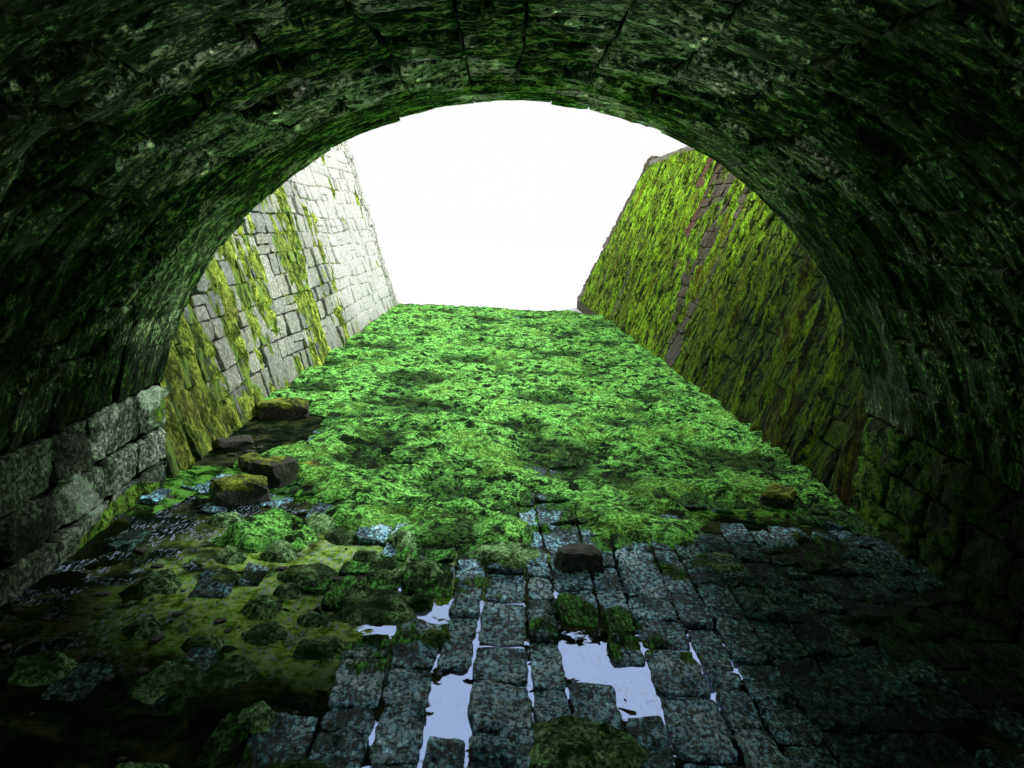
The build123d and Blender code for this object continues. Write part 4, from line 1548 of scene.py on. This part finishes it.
            self.courses(name, facing, 0.0, FLOOR, limits, 0.25, 0.62, 0.0, 0.0, self.block, "footing_stone")


class HEADWALL_OT_outside(bpy.types.Operator):
    """Lay plain rubble on the headwall, on the barrel's back and end, and on the backs of the wings"""

    bl_idname = "headwall.outside"
    bl_label = "Outside Faces"

    def execute(self, context):
        mason = Mason(context)
        mason.headwall()
        mason.barrel_back()
        mason.barrel_end()
        mason.wing_backs()
        mason.parapet()
        mason.footings()
        return {"FINISHED"}


def parts_of(mass):
    """All points, edges and faces of a mesh."""
    return mass.verts[:] + mass.edges[:] + mass.faces[:]


def cut_apart(source, cuts, half_gap=0.004):
    """Closed copies of a mesh, one for each part between two cuts across X."""
    lumps = []
    for start, end in zip(cuts, cuts[1:]):
        lump = source.copy()
        for x, way in ((start + half_gap, -1), (end - half_gap, 1)):
            cut = bmesh.ops.bisect_plane(lump, geom=parts_of(lump), plane_co=(x, 0, 0), plane_no=(way, 0, 0),
                                         clear_outer=True)["geom_cut"]
            rim = [part for part in cut if isinstance(part, bmesh.types.BMEdge)]
            if rim:
                bmesh.ops.contextual_create(lump, geom=rim)
        lumps.append(lump)
    return lumps


def subdivide(lump, cell):
    """Cuts the faces of a mesh into cells, along all three axes."""
    for axis in range(3):
        reach = [vert.co[axis] for vert in lump.verts]
        low, high = min(reach), max(reach)
        count = max(1, round((high - low) / cell))
        normal = [float(number == axis) for number in range(3)]
        for number in range(1, count):
            place = [share * (low + (high - low) * number / count) for share in normal]
            bmesh.ops.bisect_plane(lump, geom=parts_of(lump), plane_co=place, plane_no=normal)


def weathered(node, name, material, slot, seed, round_over=0.012, cuts=None, cell=0.09, wear=0.007):
    """Stones of one CAD node's own shape, cut at joints across X, with worn arrises and uneven faces."""
    source = bmesh.new()
    source.from_mesh(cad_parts[node].data)
    bmesh.ops.remove_doubles(source, verts=source.verts, dist=0.0001)
    bmesh.ops.dissolve_limit(source, angle_limit=math.radians(1.5), verts=source.verts, edges=source.edges)
    mass = bmesh.new()
    tone_layer, moss_layer = layers(mass, "tone", "moss")
    rng = random.Random(f"{node} {seed}")
    for lump in cut_apart(source, cuts) if cuts else [source]:
        sharp = [edge for edge in lump.edges if edge.is_manifold and edge.calc_face_angle() > math.radians(20)]
        bmesh.ops.bevel(lump, geom=sharp, offset=round_over, offset_type="OFFSET", segments=2, profile=0.5,
                        affect="EDGES", material=-1, clamp_overlap=True)
        subdivide(lump, cell)
        lump.normal_update()
        draw = rng.random()
        lifts = [vert.normal.z for vert in lump.verts]
        for vert in lump.verts:
            coarse = noise.noise_vector(vert.co * 5.0 + Vector((seed, draw * 9, 0))) * wear
            fine = noise.noise_vector(vert.co * 17.0 + Vector((0, seed, draw * 5))) * wear * 0.5
            vert.co += coarse + fine
        part = bpy.data.meshes.new("part")
        lump.to_mesh(part)
        lump.free()
        first = len(mass.verts)
        mass.from_mesh(part)
        bpy.data.meshes.remove(part)
        mass.verts.ensure_lookup_table()
        for number, lift in enumerate(lifts, first):
            vert = mass.verts[number]
            vert[tone_layer] = draw
            vert[moss_layer] = eased(0.15 + 0.35 * eased(lift) + patches(*(vert.co * 1.7)) * 0.8)
    piece = finished_piece(name, mass, material, slot, 38)
    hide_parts(node)
    return piece


class HEADWALL_OT_dressed(bpy.types.Operator):
    """Wear the dressed stones: the band, the parapet's piers, its coping, the caps and the wings' copings"""

    bl_idname = "headwall.dressed"
    bl_label = "Dressed Stones"

    def execute(self, context):
        plain = outside_stone("dressed_weathered_stone", tuple(context.scene.headwall_colours.dressed), 0.9, 0.7,
                              bump=0.7)
        pale = outside_stone("dressed_pale_stone", linear(190, 190, 178), 0.9, 0.6, bump=0.7)
        band = divided(-WALL_END - 0.01, WALL_END + 0.01, 0.86, 0.12, random.Random(61))
        for number, (node, name, material, round_over, cuts) in enumerate((
            ("band_course", "band_stones", plain, 0.012, band),
            ("parapet_coping", "parapet_coping_stones", plain, 0.012, None),
            ("parapet_piers", "parapet_pier_stones", plain, 0.018, None),
            ("pier_caps", "pier_cap_stones", plain, 0.012, None),
            ("wing_coping_left", "wing_coping_stones_left", pale, 0.02, None),
            ("wing_coping_right", "wing_coping_stones_right", plain, 0.02, None),
        ), 1):
            weathered(node, name, material, "dressed_stone", float(number), round_over, cuts)
        return {"FINISHED"}


def part_corners(mass):
    """Takes away a face wherever two faces of a grid touch at one corner only, so that what is raised stays closed."""
    pinched = True
    while pinched:
        pinched = [vert.link_faces[0] for vert in mass.verts
                   if len(vert.link_faces) == 2 and not set(vert.link_faces[0].edges) & set(vert.link_faces[1].edges)]
        bmesh.ops.delete(mass, geom=list(set(pinched)), context="FACES")


def layer_points(mass, run, reach, cell, shape_at, bare):
    """Fills a mesh with a closed layer over a grid, which is left out where its height is under bare.

    Gives each point, where it lies on the face and what shape_at says there, height first, and if it is raised."""
    bmesh.ops.create_grid(mass, x_segments=round((run[1] - run[0]) / cell[0]),
                          y_segments=round((reach[1] - reach[0]) / cell[1]), size=0.5)
    shapes = {}

    def spot(vert):
        return (round(vert.co.x, 5), round(vert.co.y, 5))

    for vert in mass.verts:
        u = run[0] + (vert.co.x + 0.5) * (run[1] - run[0])
        v = reach[0] + (vert.co.y + 0.5) * (reach[1] - reach[0])
        shapes[spot(vert)] = (u, v, *shape_at(u, v))
    loose = [face for face in mass.faces if all(shapes[spot(vert)][2] < bare for vert in face.verts)]
    bmesh.ops.delete(mass, geom=loose, context="FACES")
    part_corners(mass)
    grown = bmesh.ops.extrude_face_region(mass, geom=list(mass.faces), use_keep_orig=True)["geom"]
    raised = {part for part in grown if isinstance(part, bmesh.types.BMVert)}
    return [(vert, *shapes[spot(vert)], vert in raised) for vert in mass.verts]


def heap(name, facing, run, reach, cell, depth_at, material, slot):
    """Loose stuff that lies on a face: a grid raised by its depth and cut away where there is none."""
    mass = bmesh.new()
    for vert, u, v, height, top in layer_points(mass, run, reach, cell, lambda u, v: (depth_at(u, v),), 0.0):
        vert.co = facing.place(u, v, max(height, -0.006) if top else -UNDERSIDE)
    return finished_piece(name, mass, material, slot, 60)


def moss_blanket(name, facing, run, reach, cell, cover, depth, material, slot, seed, drips, lumps, shade=None,
                 lean=0.0):
    """Moss as closed pads on a face, with drips and lumps of a pitch along, a pitch up and a depth."""
    mass = bmesh.new()
    hollow_shade_layer, shade_layer = layers(mass, "hollow", "shade")

    def shape_at(u, v):
        amount = cover(u, v)
        across = u + lean * v
        drip = noise.fractal(Vector((across * drips[0], v * drips[1], seed)), 0.75, 2.2, 4)
        lump = 0.35 - abs(waver(across * lumps[0], v * lumps[1], seed + 5)) * 1.6
        lump += 0.3 * waver(u * 24, v * 17, seed + 8)
        return 0.012 + depth * (amount * 1.15 - 0.42) + (drips[2] * drip + lumps[2] * lump) * amount, drip

    for vert, u, v, height, drip, top in layer_points(mass, run, reach, cell, shape_at, 0.006):
        # Darkness in the moss's dips and underneath, which the material paints as shade.
        vert[hollow_shade_layer] = eased(0.15 - drip * 1.7) if top else 1.0
        vert.co = facing.place(u, v, max(height, -0.01) if top else -UNDERSIDE)
        if shade:
            vert[shade_layer] = shade(vert.co)
    return finished_piece(name, mass, material, slot, 80)


class HEADWALL_OT_moss(bpy.types.Operator):
    """Grow the moss that hangs down the wing walls and lies on the floor"""

    bl_idname = "headwall.moss"
    bl_label = "Moss"

    def execute(self, context):
        depth = context.scene.headwall_sizes.moss_depth
        shaggy = moss_material("wing_moss", tuple(context.scene.headwall_colours.moss), linear(36, 50, 8),
                               linear(128, 116, 36), (0.3, 1.0, 0.3), lean=0.55)
        pale = moss_material("sunlit_moss", linear(208, 242, 98), linear(92, 116, 40), linear(176, 182, 92),
                             (0.55, 1.0, 0.55))
        carpet = moss_material("apron_moss", linear(148, 248, 112), linear(4, 38, 3), linear(142, 216, 86), share=1.0)
        cushions = moss_material("floor_moss", linear(170, 234, 150), linear(46, 88, 36), linear(110, 156, 70),
                                 share=1.0)
        left, right = WINGS
        ground = looking_up(FLOOR)
        moss_blanket("wing_moss_right", right.face, (-right.end_start, -LAP), (0.0, right.slope + LAP), (0.034, 0.05),
                     right_wing_moss, depth, shaggy, right.slot, 5.0, (3.2, 0.7, 0.075), (8, 2.2, 0.04),
                     right_wing_shade, 0.5)
        moss_blanket("apron_moss_carpet", ground, (-1.1, LEFT_END - 0.05), (LAP - WING_FOOT, WING_FOOT - LAP),
                     (0.045, 0.048), apron_cover, depth * 1.5, carpet, "setts", 2.0, (1.6, 1.6, 0.05), (5, 5, 0.05))
        moss_blanket("wing_moss_left", left.face, (LAP, left.end_start), (0.0, left.slope), (0.03, 0.035),
                     left_wing_moss, depth * 0.8, pale, left.slot, 9.0, (6, 1.6, 0.045), (11, 4.5, 0.03),
                     left_wing_shade)
        moss_blanket("floor_moss_cushions", ground, (-3.4, -0.2), (LAP - HALF_SPAN, HALF_SPAN - LAP), (0.026, 0.026),
                     lambda u, v: cushion_depth(CUSHIONS, -v, u), depth, cushions, "setts", 7.0, (4, 4, 0.03),
                     (9, 9, 0.03), lambda place: 0.35 * floor_painted_shade(place))
        return {"FINISHED"}


def loose_stone(mass, place, size, turn, seed, detail=3):
    """Adds one closed, broken stone to a mass, resting on a place."""
    tone_layer, moss_layer, damp_layer = (mass.verts.layers.float[name] for name in ("tone", "moss", "damp"))
    draw = random.Random(seed)
    tone, mossy = draw.random(), draw.random()
    turned = Matrix.Rotation(turn, 3, "Z")
    for vert in bmesh.ops.create_icosphere(mass, subdivisions=detail, radius=1.0)["verts"]:
        way = vert.co.normalized()
        blocky = way / max(abs(way.x), abs(way.y), abs(way.z)) ** 0.75
        blocky *= 1 + 0.16 * rugged(*(way * 1.6 + Vector((seed * 3.1, 0, 0))))
        vert.co = Vector(place) + turned @ Vector([reach * half for reach, half in zip(blocky, size)])
        vert[tone_layer] = tone
        vert[damp_layer] = 0.8
        vert[moss_layer] = eased(0.5 * mossy + 0.55 * way.z - 0.2) if detail > 1 else 0.15


class HEADWALL_OT_loose_stones(bpy.types.Operator):
    """Set the stones that have fallen on the floor, and the grit between the setts"""

    bl_idname = "headwall.loose_stones"
    bl_label = "Loose Stones"

    def execute(self, context):
        material = stone_material("boulder_stone", linear(74, 78, 66), 1.3, moss=linear(170, 190, 66),
                                  shade=linear(60, 76, 22), fleck=0.4, wet_rough=0.3, wet_dark=0.3, depth=0.02,
                                  bump=1.0)
        mass = bmesh.new()
        layers(mass, "tone", "moss", "damp")
        for number, (x, y, long, wide, high, turn) in enumerate(FALLEN_STONES, 1):
            loose_stone(mass, (x, y, FLOOR + high * 0.45), (long, wide, high), turn, number)
        rng = random.Random(5)
        for number in range(PEBBLES):
            y = rng.uniform(-3.4, 1.6)
            x = -1.95 + abs(rng.gauss(0, 0.8))
            if x > 1.9:
                continue
            size = 0.006 + 0.02 * rng.random() ** 3
            half = (size * 1.5, size, size * 0.6)
            loose_stone(mass, (x, y, FLOOR + size * 0.2), half, rng.uniform(0, 3), 40 + number, 1)
        finished_piece("loose_stones", mass, material, "setts", 30)
        return {"FINISHED"}


class HEADWALL_OT_stage(bpy.types.Operator):
    """Set the camera, the lamps, the sky and the pale floor"""

    bl_idname = "headwall.stage"
    bl_label = "Camera, Lamps and Floor"

    def execute(self, context):
        scene = context.scene
        scene.view_settings.view_transform = "Standard"
        self.light(scene)
        self.look(scene)

        ground = bmesh.new()
        bmesh.ops.create_grid(ground, x_segments=1, y_segments=1, size=90)
        mesh = bpy.data.meshes.new("studio_floor")
        ground.to_mesh(mesh)
        ground.free()
        floor = linked("studio_floor", mesh)
        material = bpy.data.materials.new("studio_floor")
        material.use_nodes = True
        plug(material.node_tree.nodes["Principled BSDF"], {"Base Color": (0.78, 0.78, 0.77), "Roughness": 0.9})
        mesh.materials.append(material)
        return {"FINISHED"}

    def light(self, scene):
        """A white sky that lights a little less than it shows, and two soft lamps."""
        levels = scene.headwall_colours
        scene.world = bpy.data.worlds.new("studio_sky")
        scene.world.use_nodes = True
        tree = scene.world.node_tree
        path = tree.nodes.new("ShaderNodeLightPath").outputs
        camera, glossy, through = (Signal(path[f"Is {kind} Ray"]) for kind in ("Camera", "Glossy", "Transmission"))
        seen = calculated("ADD", calculated("ADD", camera, glossy, True), through, True)
        strength = seen * (1.0 - levels.sky) + levels.sky
        plug(tree.nodes["Background"], {"Color": (1.0, 1.0, 1.0), "Strength": strength})
        for name, towards, share, spread in (
            ("main_lamp", (-0.62, -0.42, -0.72), 1.0, 14),
            ("back_lamp", (0.25, 0.35, -0.9), 0.45, 30),
        ):
            lamp = bpy.data.lights.new(name, "SUN")
            lamp.energy = levels.lamp * share
            lamp.angle = math.radians(spread)
            linked(name, lamp).rotation_euler = Vector(towards).to_track_quat("-Z", "Y").to_euler()

    def look(self, scene):
        """The camera that took the photo, as it was fitted to it."""
        eye = bpy.data.cameras.new("photo_eye")
        eye.sensor_width = 36.0
        eye.lens = 29.18
        yaw, pitch, roll = (math.radians(angle) for angle in (1.058, 10.764, 2.792))
        ahead = Vector((math.sin(yaw) * math.cos(pitch), math.cos(yaw) * math.cos(pitch), -math.sin(pitch)))
        level = Vector((math.cos(yaw), -math.sin(yaw), 0))
        upright = level.cross(ahead)
        right = level * math.cos(roll) + upright * math.sin(roll)
        up = -level * math.sin(roll) + upright * math.cos(roll)
        turned = Matrix((right, up, -ahead)).transposed().to_4x4()
        turned.translation = Vector((-0.119, -4.642, 1.8))
        scene.camera = linked("photo_eye", eye)
        scene.camera.matrix_world = turned


class HEADWALL_PT_panel(bpy.types.Panel):
    """The steps that build the headwall, in order"""

    bl_label = "Culvert Headwall"
    bl_idname = "HEADWALL_PT_panel"
    bl_space_type = "VIEW_3D"
    bl_region_type = "UI"
    bl_category = "Headwall"

    def draw(self, context):
        for step in STEPS:
            self.layout.operator(step.bl_idname)
        for group in (context.scene.headwall_sizes, context.scene.headwall_colours):
            box = self.layout.box()
            for name in group.__annotations__:
                box.prop(group, name)


STEPS = (
    HEADWALL_OT_finishes,
    HEADWALL_OT_vault,
    HEADWALL_OT_ring,
    HEADWALL_OT_abutments,
    HEADWALL_OT_floor,
    HEADWALL_OT_wings,
    HEADWALL_OT_wing_ends,
    HEADWALL_OT_outside,
    HEADWALL_OT_dressed,
    HEADWALL_OT_moss,
    HEADWALL_OT_loose_stones,
    HEADWALL_OT_stage,
)


def register():
    for kind in (HeadwallSizes, HeadwallColours, *STEPS, HEADWALL_PT_panel):
        bpy.utils.register_class(kind)
    bpy.types.Scene.headwall_sizes = bpy.props.PointerProperty(type=HeadwallSizes)
    bpy.types.Scene.headwall_colours = bpy.props.PointerProperty(type=HeadwallColours)


def unregister():
    del bpy.types.Scene.headwall_colours
    del bpy.types.Scene.headwall_sizes
    for kind in reversed((HeadwallSizes, HeadwallColours, *STEPS, HEADWALL_PT_panel)):
        bpy.utils.unregister_class(kind)


def main():
    """Builds the whole dressed headwall."""
    register()
    for step in STEPS:
        group, name = step.bl_idname.split(".")
        getattr(getattr(bpy.ops, group), name)()
    for mesh in blanks.values():
        bpy.data.meshes.remove(mesh)


if __name__ == "__main__":
    main()
